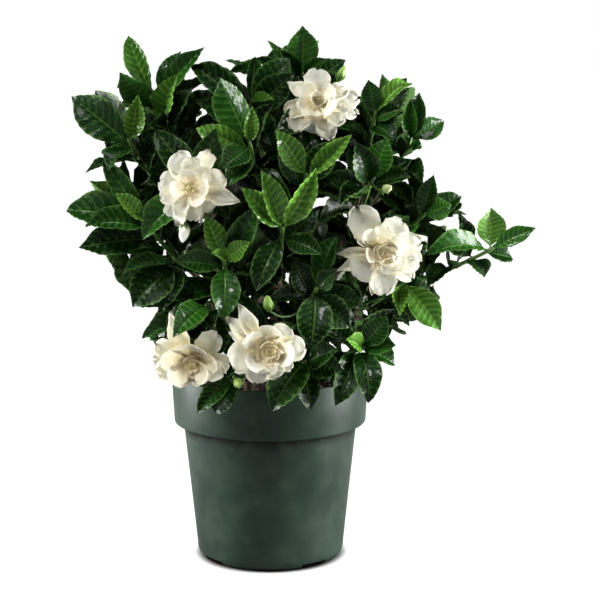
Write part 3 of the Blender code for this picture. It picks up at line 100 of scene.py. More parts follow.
# Shoots: the stem that carries it, the height where it leaves that stem, its tip or the flower
# it ends behind, and its leaves, given one by one: place along the shoot, blade tip, width,
# form, tone and how far the upper side turns from up (0) to the show side (90).
SHOOTS = {
    "top": ("centre", 330, (27, -26, 400), [
        (0.99, (27, -30, 439), 25, "rise", 0.45, 85), (0.95, (46, -38, 413), 13, "open", 0.3, 60),
        (0.9, (9, -36, 420), 13, "fold", 0.3, 70), (0.55, (62, -6, 412), 22, "open", 0.2, 50),
        (0.6, (2, 10, 420), 24, "open", 0.2, 50)]),
    "crown_centre": ("centre", 300, (-15, -52, 376), [
        (0.95, (17, -42, 414), 25, "open", 0.2, 70), (0.85, (20, -62, 402), 24, "open", 0.12, 60),
        (0.97, (6, -78, 382), 12, "fold", 0.8, 60), (0.8, (-62, -42, 408), 23, "arch", 0.15, 55),
        (0.9, (-42, -36, 411), 18, "open", 0.2, 60), (0.99, (-13, -34, 413), 12, "fold", 0.3, 70),
        (0.6, (-58, -64, 380), 24, "arch", 0.1, 50)]),
    "left_high": ("left", 290, (-91, -44, 386), [
        (0.98, (-110, -36, 431), 19, "trough", 0.72, 80), (0.95, (-117, -46, 420), 12, "fold", 0.5, 60),
        (0.9, (-70, -22, 419), 19, "rise", 0.42, 85), (0.85, (-50, -42, 422), 17, "open", 0.34, 70),
        (0.8, (-114, -58, 406), 25, "open", 0.4, 70), (0.55, (-69, -68, 402), 21, "trough", 0.85, 65),
        (0.35, (-57, -74, 391), 22, "open", 0.1, 60)]),
    "left_crown": ("left", 255, (-108, -62, 350), [
        (0.9, (-154, -50, 384), 29, "open", 0.2, 75), (0.8, (-138, -28, 388), 25, "open", 0.12, 60),
        (0.98, (-99, -76, 386), 17, "fold", 0.9, 70), (0.75, (-122, -84, 328), 22, "droop", 0.15, 20),
        (0.85, (-134, -58, 336), 25, "arch", 0.35, 50), (0.6, (-128, -16, 352), 24, "arch", 0.1, 40)]),
    "left_mid": ("left", 215, (-94, -84, 288), [
        (0.95, (-128, -74, 338), 16, "open", 0.3, 70), (0.99, (-119, -84, 314), 15, "fold", 0.95, 60),
        (0.85, (-157, -72, 296), 27, "arch", 0.3, 55), (0.7, (-147, -78, 268), 25, "open", 0.12, 60),
        (0.92, (-138, -100, 288), 26, "trough", 0.3, 60), (0.6, (-136, -90, 262), 11, "open", 0.2, 50),
        (0.97, (-88, -98, 306), 13, "open", 0.3, 80), (0.5, (-84, -60, 322), 24, "open", 0.1, 60)]),
    "left_low": ("left", 190, (-72, -84, 258), [
        (0.9, (-104, -96, 224), 31, "arch", 0.12, 55), (0.8, (-80, -100, 222), 22, "arch", 0.1, 60),
        (0.98, (-112, -88, 250), 20, "trough", 0.2, 50), (0.6, (-96, -64, 232), 24, "arch", 0.08, 45)]),
    "left_skirt": ("left", 168, (-46, -98, 226), [
        (0.95, (-78, -112, 207), 24, "open", 0.12, 60), (0.99, (-70, -134, 207), 20, "arch", 0.45, 50),
        (0.85, (-38, -128, 180), 21, "droop", 0.1, 70), (0.6, (-98, -88, 198), 16, "arch", 0.3, 45),
        (0.5, (-86, -70, 204), 22, "arch", 0.1, 40)]),
    "left_centre": ("left", 200, (-33, -108, 262), [
        (0.95, (-50, -124, 301), 18, "open", 0.9, 80), (0.85, (-70, -114, 262), 17, "open", 0.25, 60),
        (0.9, (-33, -128, 219), 22, "arch", 0.35, 75), (0.99, (-41, -128, 270), 10, "fold", 0.95, 60),
        (0.97, (-12, -120, 278), 14, "open", 0.85, 70), (0.8, (-6, -114, 306), 20, "open", 0.3, 75),
        (0.99, (-31, -122, 286), 11, "fold", 0.6, 70)]),
    "flower_upper_left": ("left", 235, "upper_left", [
        (0.85, (-92, -102, 279), 23, "arch", 0.4, 45), (0.8, (-38, -104, 362), 22, "open", 0.2, 70),
        (0.7, (-88, -70, 360), 23, "open", 0.12, 70)]),
    "centre": ("centre", 225, (12, -114, 287), [
        (0.95, (-19, -130, 319), 18, "open", 0.75, 70), (0.97, (-4, -128, 332), 20, "trough", 0.8, 75),
        (0.99, (36, -128, 334), 20, "trough", 0.95, 75), (0.85, (-8, -122, 240), 20, "arch", 0.15, 60),
        (0.8, (42, -120, 268), 18, "open", 0.15, 60), (0.6, (40, -98, 300), 22, "open", 0.08, 60)]),
    "centre_high": ("centre", 265, (-13, -96, 350), [
        (0.9, (-56, -102, 364), 20, "trough", 0.85, 70), (0.97, (-36, -84, 399), 26, "open", 0.4, 80),
        (0.92, (-33, -116, 332), 21, "open", 0.2, 65), (0.99, (-11, -104, 378), 12, "fold", 0.95, 80),
        (0.85, (-30, -112, 318), 18, "arch", 0.4, 50)]),
    "centre_inner": ("centre", 255, (30, -100, 326), [
        (0.97, (7, -112, 361), 18, "open", 0.85, 70), (0.99, (64, -108, 357), 16, "trough", 0.9, 75),
        (0.8, (52, -90, 352), 22, "open", 0.1, 70), (0.7, (10, -84, 350), 22, "open", 0.1, 70)]),
    "flower_top": ("centre", 310, "top", [
        (0.8, (78, -58, 395), 20, "arch", 0.15, 50), (0.7, (66, -84, 358), 14, "fold", 0.6, 70),
        (0.75, (4, -92, 352), 20, "arch", 0.15, 60)]),
    "right_high": ("right", 270, (84, -56, 372), [
        (0.95, (78, -58, 397), 16, "open", 0.3, 70), (0.9, (104, -62, 374), 15, "open", 0.35, 60),
        (0.99, (112, -54, 392), 14, "droop", 0.95, 50), (0.8, (98, -74, 350), 20, "arch", 0.15, 60),
        (0.7, (110, -30, 398), 20, "open", 0.1, 60)]),
    "right_crown": ("right", 262, (112, -48, 350), [
        (0.95, (111, -56, 382), 13, "fold", 0.5, 80), (0.9, (119, -44, 387), 17, "open", 0.2, 70),
        (0.97, (140, -42, 367), 17, "open", 0.3, 70), (0.85, (126, -54, 359), 20, "open", 0.2, 70),
        (0.75, (142, -36, 346), 20, "arch", 0.12, 50)]),
    "right_mid": ("right", 245, (80, -84, 322), [
        (0.97, (92, -92, 354), 21, "open", 0.5, 75), (0.9, (110, -90, 324), 19, "open", 0.12, 50),
        (0.7, (44, -96, 324), 22, "open", 0.1, 60), (0.92, (66, -106, 352), 24, "trough", 0.15, 70),
        (0.8, (112, -66, 336), 20, "open", 0.1, 50)]),
    "right_arm_high": ("right", 240, (122, -62, 292), [
        (0.95, (129, -68, 324), 15, "open", 0.2, 70), (0.9, (134, -74, 303), 18, "open", 0.25, 70),
        (0.99, (144, -60, 300), 18, "open", 0.55, 70), (0.8, (155, -46, 305), 19, "open", 0.12, 60),
        (0.85, (160, -54, 286), 14, "open", 0.2, 60)]),
    "flower_right": ("right", 235, "right", [
        (0.85, (108, -116, 304), 20, "open", 0.75, 70), (0.8, (122, -106, 292), 15, "open", 0.5, 60),
        (0.9, (88, -118, 300), 12, "fold", 0.8, 60)]),
    "right_arm": ("right", 215, (178, -50, 264), [
        (0.97, (176, -52, 297), 24, "rise", 0.85, 80), (0.99, (209, -50, 284), 14, "open", 0.5, 60),
        (0.95, (122, -76, 262), 18, "arch", 0.4, 40), (0.75, (142, -42, 278), 23, "open", 0.12, 50),
        (0.7, (170, -66, 243), 20, "arch", 0.12, 50), (0.9, (196, -38, 254), 20, "open", 0.12, 45),
        (0.45, (124, -78, 236), 18, "arch", 0.15, 50)]),
    "right_low": ("right", 195, (106, -84, 243), [
        (0.97, (134, -92, 205), 22, "open", 0.8, 60), (0.95, (101, -106, 219), 14, "fold", 0.95, 60),
        (0.8, (82, -112, 232), 16, "open", 0.5, 60), (0.7, (128, -66, 228), 22, "arch", 0.1, 50)]),
    "right_skirt": ("right", 172, (74, -92, 192), [
        (0.97, (93, -96, 217), 19, "open", 0.25, 70), (0.9, (98, -80, 207), 12, "open", 0.15, 60),
        (0.95, (99, -98, 194), 19, "open", 0.3, 60), (0.88, (99, -86, 176), 18, "arch", 0.2, 50),
        (0.99, (60, -112, 202), 16, "fold", 0.95, 70), (0.8, (77, -112, 152), 20, "droop", 0.15, 60),
        (0.7, (52, -112, 150), 20, "droop", 0.12, 60)]),
    "centre_low": ("centre", 190, (38, -106, 240), [
        (0.9, (33, -122, 196), 27, "arch", 0.12, 75), (0.97, (52, -114, 254), 16, "open", 0.2, 60),
        (0.95, (56, -114, 291), 24, "open", 0.3, 80), (0.85, (62, -116, 212), 24, "arch", 0.1, 70),
        (0.8, (72, -98, 226), 20, "arch", 0.15, 60), (0.7, (20, -100, 262), 20, "open", 0.08, 60)]),
    "centre_skirt": ("centre", 166, (30, -100, 182), [
        (0.97, (54, -122, 196), 22, "open", 0.15, 65), (0.9, (57, -120, 178), 22, "arch", 0.1, 60),
        (0.95, (4, -128, 149), 26, "droop", 0.15, 75), (0.85, (34, -118, 148), 18, "droop", 0.1, 60)]),
    "flower_lower_left": ("left", 178, "lower_left", [
        (0.8, (-96, -112, 202), 15, "open", 0.3, 50)]),
    "flower_lower_centre": ("centre", 180, "lower_centre", [
        (0.8, (22, -122, 216), 17, "open", 0.25, 60)]),
    "front_skirt": ("left", 158, (-26, -98, 170), [
        (0.95, (-54, -110, 143), 17, "arch", 0.2, 60), (0.85, (-44, -116, 140), 20, "droop", 0.1, 70)]),
}
# The far side's shoots stand in rings: height, distance from the axis, first and last angle
# in degrees, and how many.
BACK_RINGS = (
    (205, 108, 6, 174, 4),
    (282, 126, 12, 176, 5),
    (352, 98, 20, 160, 3),
    (392, 40, 80, 80, 1),
    (322, 50, 106, 106, 1),
)
WHORL = 3                       # leaves at each joint of a shoot made by rule
BACK_SWAY = 9.0                 # how far the tips of a ring stand above or below its height
BACK_SHIFT = 8.0                # the crown's middle stands this far to +X of the pot's axis
CENTRE_REACH = 50.0             # shoots that end this near to the middle grow from the centre stem

# Flowers: centre, the way it faces and radius. A shoot of the same name ends behind it.
FLOWERS = {
    "upper_left": ((-56, -122, 318), (-0.12, -1.0, 0.10), 29),
    "top": ((38, -84, 379), (0.10, -1.0, 0.30), 29),
    "right": ((84, -108, 269), (0.15, -1.0, 0.10), 34),
    "lower_left": ((-57, -118, 186), (-0.10, -1.0, -0.15), 25),
    "lower_centre": ((-1, -134, 198), (0.0, -1.0, 0.05), 30),
}
FLOWER_STAND = 27.0             # from a flower's centre back to the end of its shoot
FLOWER_DEPTH = 20.0             # how far its petals stand in front of its centre


def ray(turn):
    """A level direction, turned this many radians from +X."""
    return Vector((math.cos(turn), math.sin(turn), 0))


def placed_by(*columns):
    """The matrix that takes +X, +Y, +Z and the origin to these vectors."""
    return Matrix([[column[i] for column in columns] for i in range(3)] + [[0, 0, 0, 1]])


def smooth_path(points, steps):
    """A path through the points, with `steps` pieces between each two of them."""
    points = [Vector(p) for p in points]
    ends = [2 * points[0] - points[1], *points, 2 * points[-1] - points[-2]]
    path = []
    for a, b, c, d in zip(ends, ends[1:], ends[2:], ends[3:]):
        for i in range(steps):
            t = i / steps
            path.append(0.5 * (2 * b + (c - a) * t + (2 * a - 5 * b + 4 * c - d) * t ** 2
                               + (3 * b - a - 3 * c + d) * t ** 3))
    return path + [points[-1]]


def bent_path(start, bend, end, steps):
    """A path that leaves start towards bend and comes to end from there."""
    shares = [i / steps for i in range(steps + 1)]
    return [start * (1 - t) ** 2 + bend * 2 * t * (1 - t) + end * t ** 2 for t in shares]


def at_height(path, height):
    """The point of an upward path that is at this height."""
    for low, high in zip(path, path[1:]):
        if high.z >= height:
            return low.lerp(high, max(0.0, (height - low.z) / (high.z - low.z)))
    return path[-1].copy()


def at_share(path, share):
    """The point at this share of a path's pieces, and the direction there."""
    place = min(max(share, 0.0), 0.9999) * (len(path) - 1)
    i = int(place)
    return path[i].lerp(path[i + 1], place - i), (path[i + 1] - path[i]).normalized()


def flower_axis(key):
    """The way a flower faces, out of its middle."""
    return Vector(FLOWERS[key][1]).normalized()


def back_shoots():
    """The far side's shoots, in the same form as SHOOTS, with no listed leaf."""
    shoots = {}
    for height, reach, first, last, count in BACK_RINGS:
        for i in range(count):
            turn = math.radians(first + (last - first) * i / max(1, count - 1))
            sway = BACK_SWAY * math.sin(3 * turn + height)
            tip = (reach * math.cos(turn) + BACK_SHIFT, reach * math.sin(turn), height + sway)
            side = "centre" if abs(tip[0]) < CENTRE_REACH else "left" if tip[0] < 0 else "right"
            leave = 105 + 0.5 * height + 6 * i
            shoots[f"back_{len(shoots) + 1:02d}"] = (side, leave, tip, [])
    return shoots


ALL_SHOOTS = {**SHOOTS, **back_shoots()}


def branch_path(stem, leave, tip):
    """A branch from its stem to a shoot's tip: out first, then up."""
    foot = at_height(smooth_path(STEMS[stem], STEM_STEPS), leave)
    if isinstance(tip, str):
        end = Vector(FLOWERS[tip][0]) - flower_axis(tip) * FLOWER_STAND
        bend = end - flower_axis(tip) * 0.35 * (end - foot).length
    else:
        end = Vector(tip)
        bend = foot.lerp(end, 0.55) - Vector((0, 0, 0.10 * (end - foot).length))
    return bent_path(foot, bend, end, BRANCH_STEPS)


def arched(bend, s, power, pieces):
    """The middle line of a unit blade or petal at share s, as y, z and slope; it leaves along +Y."""
    y = z = 0.0
    for i in range(pieces):
        slope = -bend * ((i + 0.5) / pieces * s) ** power
        y += math.cos(slope) * s / pieces
        z += math.sin(slope) * s / pieces
    return y, z, -bend * s ** power


def blade_half(s):
    """Half the width of a unit blade at share s of its length."""
    b = max(0.0, s - PETIOLE) / (1 - PETIOLE)
    outline = BLADE_HALF / BLADE_PEAK * b ** 0.9 * (1 - min(b, 1.0)) ** 0.75
    return max(PETIOLE_HALF * min(1.0, 8 * (1 - s)), outline)


def blade_point(form, hand, s, u):
    """The point of a unit blade at share s of its length and u (-1 to 1) across it."""
    bend, fold = (math.radians(angle) for angle in FORMS[form])
    y, z, slope = arched(bend, s, *BLADE_ARCH)
    out = u * blade_half(s)
    phase = 9.0 * s + 2.1 * hand + (1.3 if u > 0 else 0.0)
    wave = WAVE * math.sin(phase) * u * u * min(1.0, 4 * (1 - s))
    side, lift = out * math.cos(fold), abs(out) * math.sin(fold) + (wave if s > PETIOLE else 0.0)
    twist = math.radians(TWIST) * hand * s
    turned = side * math.cos(twist) - lift * math.sin(twist)
    raised = side * math.sin(twist) + lift * math.cos(twist)
    return Vector((turned, y - math.sin(slope) * raised, z + math.cos(slope) * raised))


def strip_faces(counts):
    """Triangles of a sheet between sections of 1 or 3 points, as numbers into its points."""
    faces, start = [], 0
    for a, b in zip(counts, counts[1:]):
        low, high = range(start, start + a), range(start + a, start + a + b)
        if a == 1:
            faces += [(low[0], high[i + 1], high[i]) for i in range(b - 1)]
        elif b == 1:
            faces += [(low[i], low[i + 1], high[0]) for i in range(a - 1)]
        else:
            faces += [(low[0], low[1], high[1]), (low[0], high[1], high[0])]
            faces += [(low[1], low[2], high[1]), (low[2], high[2], high[1])]
        start += a
    return faces


def blade_matrix(base, tip, width, form, hand, face):
    """Places a unit blade with its stalk at base, its tip at tip and its upper side to face."""
    end = blade_point(form, hand, 1.0, 0.0)
    length = (tip - base).length / end.length
    chord = (tip - base).normalized()
    normal = face - face.dot(chord) * chord
    normal = normal.normalized() if normal.length > 1e-4 else chord.orthogonal().normalized()
    pitch = math.atan2(end.z, end.y)
    along = chord * math.cos(pitch) - normal * math.sin(pitch)
    up = chord * math.sin(pitch) + normal * math.cos(pitch)
    spread = width / (2 * BLADE_HALF * math.cos(math.radians(FORMS[form][1])))
    return placed_by(along.cross(up) * spread, along * length, up * length, base)


# ---------------------------------------------------------------- keeping leaves clear of each other
def guarded(owner, shell, free=None):
    """A shell as a crowd keeps it: its owner, middle and reach, the whole of it, and its free part."""
    points = shell[0]
    centre = sum(points, Vector()) / len(points)
    reach = max((p - centre).length for p in points)
    return owner, centre, reach, BVHTree.FromPolygons(*shell), BVHTree.FromPolygons(*(free or shell))


def hits(crowd, new):
    """Whether a shell touches one in the crowd. Blades of one shoot may meet at their stalks."""
    owner, centre, reach, tree, free = new
    for other, place, size, whole, blade in crowd:
        if (centre - place).length > reach + size:
            continue
        if free.overlap(blade) if other == owner else tree.overlap(whole):
            return True
    return False


def thick_shell(sections):
    """A closed shell round a sheet given as sections, CLEAR away from it on both sides."""
    middle = [p for row in sections for p in row]
    counts = [len(row) for row in sections]
    faces = strip_faces(counts)
    normals = [Vector() for _ in middle]
    for face in faces:
        a, b, c = (middle[i] for i in face)
        normal = (b - a).cross(c - a)
        for i in face:
            normals[i] += normal
    normals = [n.normalized() for n in normals]
    points = [p + n * CLEAR for p, n in zip(middle, normals)]
    points += [p - n * CLEAR for p, n in zip(middle, normals)]
    shift = len(middle)
    shell = faces + [tuple(i + shift for i in reversed(face)) for face in faces]
    left = [sum(counts[:i]) for i in range(len(counts))]
    right = [start + count - 1 for start, count in zip(left, counts)]
    shell += [(a, b, b + shift, a + shift) for a, b in zip(left, left[1:])]
    shell += [(a + shift, b + shift, b, a) for a, b in zip(right, right[1:])]
    if left[0] != right[0]:
        shell.append((left[0], left[0] + shift, right[0] + shift, right[0]))
    return points, shell


def blade_shells(matrix, form, hand):
    """A placed blade's shell, and the shell of its free part, without the stalk."""
    rows = [[matrix @ blade_point(form, hand, s, u) for u in across] for s, across in SECTIONS]
    rib = [sum(row, Vector()) / len(row) for row in rows]
    rows = [[middle + (p - middle) * SPREAD_CLEAR for p in row] for row, middle in zip(rows, rib)]
    free = [[rows[0][0].lerp(p, STALK_SHARE) for p in rows[1]]]
    return thick_shell(rows), thick_shell(free + rows[1:])


def ringed_shell(rings, sides):
    """Side faces along a row of rings, each a centre, an axis and a radius."""
    points, faces = [], []
    for centre, axis, radius in rings:
        across = axis.orthogonal().normalized()
        up = axis.cross(across)
        for k in range(sides):
            turn = math.tau * k / sides
            points.append(centre + (across * math.cos(turn) + up * math.sin(turn)) * radius)
    for start in range(0, (len(rings) - 1) * sides, sides):
        for k in range(sides):
            a, b = start + k, start + (k + 1) % sides
            faces.append((a, b, b + sides, a + sides))
    return points, faces


def radii_along(path, first, last):
    """Radii that run evenly from the first to the last."""
    return [first + (last - first) * i / (len(path) - 1) for i in range(len(path))]


def tube_shell(path, first, last):
    """The side faces of a stem, kept clear of by CLEAR."""
    ends = [path[0], *path, path[-1]]
    radii = [radius + CLEAR for radius in radii_along(path, first, last)]
    ways = [(b - a).normalized() for a, b in zip(ends, ends[2:])]
    return ringed_shell(list(zip(path, ways, radii)), TUBE_SIDES)


def turned_shell(centre, axis, profile, sides=12):
    """A turned surface round an axis, from (radius, place along the axis) pairs."""
    return ringed_shell([(centre + axis * place, axis, radius) for radius, place in profile], sides)


# Buds: the shoot and the place along it where the bud's stalk starts, the bud's centre,
# its length, the way it points, and its tone from green (0) to white (1).
BUDS = {
    "centre": ("centre_low", 0.6, (1, -119, 231), 15, (-0.1, -0.5, 0.85), 0.1),
    "skirt": ("front_skirt", 0.95, (-22, -122, 170), 14, (0.1, -0.9, 0.1), 0.25),
    "right": ("right_mid", 0.95, (91, -102, 316), 13, (0.4, -0.8, 0.3), 0.5),
    "white": ("flower_upper_left", 0.8, (-62, -118, 284), 16, (-0.1, -0.5, -0.85), 1.0),
    "top": ("flower_top", 0.6, (57, -66, 402), 13, (0.4, -0.2, 0.9), 0.2),
}
BUD_STALK = (1.1, 0.9)          # radius of its stalk at foot and tip
BUD_FOOT = 0.48                 # from a bud's centre to its lower end, in bud lengths

# Leaf rows of a shoot made by rule: place along it, leaf length, lift towards the tip in
# degrees, and forms to pick from.
RULE_ROWS = (
    (0.0, 60, 0, ("arch", "open", "open")),
    (0.14, 68, 4, ("arch", "open", "open")),
    (0.28, 66, 8, ("arch", "open", "open")),
    (0.42, 64, 12, ("arch", "open", "rise")),
    (0.70, 56, 26, ("open", "open", "trough")),
    (0.97, 40, 52, ("rise", "fold", "open")),
)
LAST_LEAF = 0.97                # no leaf starts nearer to a shoot's end than this share
# Leaves made by rule low on each shoot of the show side.
FILL_SHARES = (0.02, 0.11, 0.20, 0.29, 0.38, 0.47, 0.56, 0.65, 0.74)
FILL_LIFT = 15
FILL_FORMS = ("open", "arch", "trough")
WIDTH_SHARE = (0.36, 0.46)      # blade width over its length
TRIES = 60                      # how often a leaf is turned or shortened before it is given up
SIGHT_DEPTH = 70.0              # how far in front of a flower no blade made by rule may stand
LOWEST_TIP = 159.0              # no blade made by rule hangs below this
SKIRT_REACH = 90.0              # how far from the crown's middle such a blade may reach at that height
SKIRT_SPREAD = 0.58             # and how much farther for each millimetre above it
SKIRT_DEPTH = 0.85              # how much of its reach towards the show side or away from it counts
HOLLOW = (122.0, 298.0)         # no such blade ends farther to +X than this above this height


def turned_from_up(angle):
    """A direction this many degrees from up towards the show side."""
    return Vector((0, -math.sin(math.radians(angle)), math.cos(math.radians(angle))))


def pot_guard():
    """A coarse outline of pot and soil that blades keep clear of, as (radius, height)."""
    top, soil = POT_HEIGHT + 1.5, SOIL_TOP + 1.5
    return ((0.5, soil), (POT_RIM_RADIUS - 6, soil), (POT_RIM_RADIUS - 5, top), (POT_RIM_RADIUS + 1.5, top),
            (POT_BAND_RADIUS + 2, POT_BAND_FROM), (POT_NECK_RADIUS, 100.0))


def flower_guard(radius):
    """A coarse outline of a flower with its calyx, as (radius, place along its axis)."""
    return ((0.5, 1.5 - FLOWER_STAND), (7, 2 - FLOWER_STAND), (9, -12), (0.75 * radius, -9),
            (radius + 1, -2), (radius + 1, 5), (0.7 * radius, FLOWER_DEPTH), (0.5, FLOWER_DEPTH + 3))


def bud_guard(length):
    """A coarse outline of a bud, as (radius, place along its axis)."""
    thick, end = 0.36 * length, 0.62 * length
    return (0.5, -end), (thick, -0.2 * length), (thick, 0.2 * length), (0.5, end)


def branches():
    """Each shoot's stem, its woody piece and its green piece."""
    found = {}
    for name, (stem, leave, tip, _) in ALL_SHOOTS.items():
        path = branch_path(stem, leave, tip)
        split = round((len(path) - 1) * WOODY_SHARE)
        found[name] = (stem, path[:split + 1], path[split:])
    return found


def bud_path(key, green):
    """A bud's stalk, from inside its shoot to just under the bud."""
    _, share, centre, length, way, _ = BUDS[key]
    foot = at_share(green, share)[0]
    end = Vector(centre) - Vector(way).normalized() * (BUD_FOOT * length + JOINT_GAP)
    bend = foot.lerp(end, 0.6) - Vector(way).normalized() * 0.45 * (end - foot).length
    return bent_path(foot, bend, end, 4)


def crowd_of(found):
    """The pot, stems, flowers and buds, which every blade keeps clear of."""
    crowd = [guarded("pot", turned_shell(Vector(), Vector((0, 0, 1)), pot_guard(), 24))]
    for stem, points in STEMS.items():
        crowd.append(guarded("stem_" + stem, tube_shell(smooth_path(points, STEM_STEPS), *STEM_RADIUS)))
    for name, (stem, woody, green) in found.items():
        crowd.append(guarded("stem_" + stem, tube_shell(woody, BRANCH_RADIUS, BRANCH_RADIUS)))
        crowd.append(guarded(name, tube_shell(green, *SHOOT_RADIUS)))
    for key, (centre, _, radius) in FLOWERS.items():
        bowl = turned_shell(Vector(centre), flower_axis(key), flower_guard(radius))
        crowd.append(guarded("petals_" + key, bowl))
    for key, (shoot, _, centre, length, way, _) in BUDS.items():
        crowd.append(guarded(shoot, tube_shell(bud_path(key, found[shoot][2]), *BUD_STALK)))
        pod = turned_shell(Vector(centre), Vector(way).normalized(), bud_guard(length), 8)
        crowd.append(guarded("bud_" + key, pod))
    return crowd


def sight_guard():
    """The space in front of each flower, which blades made by rule leave free."""
    crowd = []
    for key, (centre, _, radius) in FLOWERS.items():
        drum = ((0.5, 2), (radius, 4), (radius, SIGHT_DEPTH), (0.5, SIGHT_DEPTH + 2))
        crowd.append(guarded("sight_" + key, turned_shell(Vector(centre), Vector((0, -1, 0)), drum)))
    return crowd


def try_blade(crowds, shoot, base, tip, width, form, hand, face):
    """The blade's matrix if it is clear of everything, else None; it joins the first crowd."""
    matrix = blade_matrix(base, tip, width, form, hand, face)
    blade = guarded(shoot, *blade_shells(matrix, form, hand))
    if any(hits(crowd, blade) for crowd in crowds):
        return None
    crowds[0].append(blade)
    return matrix


def hand_set_blades(found, crowd, rng):
    """The leaves listed in SHOOTS, each turned a little or set deeper until it is clear."""
    blades = []
    for name, (_, _, _, rows) in SHOOTS.items():
        for share, tip, width, form, tone, angle in rows:
            base = at_share(found[name][2], min(share, LAST_LEAF))[0]
            for attempt in range(TRIES):
                loose = attempt / TRIES
                size = 1 - 0.35 * max(0.0, loose - 0.4)
                shift = Vector((rng.uniform(-7, 7), rng.uniform(-14, 30), rng.uniform(-7, 7))) * loose
                aim = base + (Vector(tip) + shift - base) * size
                face = turned_from_up(angle + rng.uniform(-50, 50) * loose)
                face.x += rng.uniform(-0.25, 0.25) + 0.6 * loose * rng.uniform(-1, 1)
                hand = rng.choice(HANDS)
                matrix = try_blade([crowd], name, base, aim, width * size, form, hand, face)
                if matrix:
                    blades.append((name, matrix, form, hand, tone))
                    break
    return blades


def rule_blade(found, crowds, rng, name, share, turn, length, lift, forms, tone):
    """One leaf made by rule: out from the shoot, lifted towards its tip."""
    base, ahead = at_share(found[name][2], share)
    across = ahead.orthogonal().normalized()
    for attempt in range(TRIES):
        loose = attempt / TRIES
        angle = turn + rng.uniform(-1.2, 1.2) * loose
        out = Matrix.Rotation(angle, 3, ahead) @ across
        raised = math.radians(lift + rng.uniform(-30, 30) * loose)
        reach = length * (1 - 0.3 * loose) * rng.uniform(0.88, 1.08)
        tip = base + (out * math.cos(raised) + ahead * math.sin(raised) + Vector((0, 0, 0.12))) * reach
        width = reach * rng.uniform(*WIDTH_SHARE)
        form, hand = rng.choice(forms), rng.choice(HANDS)
        face = ahead + Vector((0, 0, 0.7)) + Vector((rng.uniform(-1, 1), rng.uniform(-1, 1), 0)) * 0.35
        outwards = Vector((tip.x - BACK_SHIFT, SKIRT_DEPTH * tip.y)).length
        if tip.z < LOWEST_TIP or outwards > SKIRT_REACH + SKIRT_SPREAD * (tip.z - LOWEST_TIP):
            continue
        if tip.x > HOLLOW[0] and tip.z > HOLLOW[1]:
            continue
        matrix = try_blade(crowds, name, base, tip, width, form, hand, face)
        if matrix:
            return [(name, matrix, form, hand, tone)]
    return []


def rule_blades(found, crowd, rng):
    """The leaves of the far side's shoots, and those low on the show side's shoots."""
    blades = []
    shade = random.Random(SEED)
    crowds = [crowd, sight_guard()]
    for name in back_shoots():
        for row, (share, length, lift, forms) in enumerate(RULE_ROWS):
            newest = row == len(RULE_ROWS) - 1
            for i in range(WHORL):
                turn = math.tau * (i / WHORL + 0.5 * row / WHORL) + rng.uniform(-0.3, 0.3)
                tone = shade.uniform(0.45, 0.95) if newest else shade.uniform(0.0, 0.3)
                place = share - 0.03 * i
                blades += rule_blade(found, crowds, rng, name, place, turn, length, lift, forms, tone)
    for name in SHOOTS:
        for share in FILL_SHARES:
            turn = rng.uniform(0, math.tau)
            length = rng.uniform(46, 60)
            # These low, inner leaves get the darkest tones: partly their own old dark green, partly painted shade.
            tone = shade.uniform(0.0, 0.15)
            blades += rule_blade(found, crowds, rng, name, share, turn, length, FILL_LIFT, FILL_FORMS, tone)
    return blades


def grow():
    """The branches by shoot, and every blade as (shoot, matrix, form, hand, tone)."""
    rng = random.Random(SEED)
    found = branches()
    crowd = crowd_of(found)
    blades = hand_set_blades(found, crowd, rng)
    return found, blades + rule_blades(found, crowd, rng)


# ---------------------------------------------------------------- thin sheets: leaves and petals
# Columns of a leaf in half widths, the share of its quilting that each takes, and the rows
# of its stalk in leaf lengths.
BLADE_ACROSS = (-1.0, -0.7, -0.36, -0.07, 0.07, 0.36, 0.7, 1.0)
BLADE_SWELL = (0.3, 0.85, 1.0, 0.1, 0.1, 1.0, 0.85, 0.3)
BLADE_FOOT = (0.0, 0.05, PETIOLE)
VEINS = 8                       # lateral veins on each side of the mid rib
VEIN_END = 0.92                 # where the last of them starts
BLADE_TIP = (0.97, 0.999)       # rows beyond it
LEAF_ROWS = (*BLADE_FOOT, *(PETIOLE + (VEIN_END - PETIOLE) * k / (2 * VEINS) for k in range(1, 2 * VEINS + 1)),
             *BLADE_TIP)
VEIN_RISE = 0.13                # how far a vein climbs from the mid rib to the margin
QUILT = 0.0260                  # how far the leaf bulges between its veins
RIB_DIP = 0.014                 # how deep the mid rib lies
RIB_HALF = 0.1                  # columns nearer to the middle than this are the mid rib
OUTLINE = (0.96, 1.06, 0.30)    # how fast a leaf widens and narrows, and how slender its point is
# A leaf's width over its plan's width, by form.
SLIM = {"open": 1.06, "arch": 1.04, "rise": 1.02, "fold": 0.96, "trough": 0.92, "droop": 1.08}
CURL = 0.16                     # how far the margins turn, in half widths
CREASE = 17.0                   # degrees that each half folds up beyond its plan
WAVES = (0.020, 19.0)           # height and number of the margin's waves
BLADE_SHEET = 0.0045            # half thickness of a leaf
BLADE_KEEL = 0.010              # half thickness along its mid rib


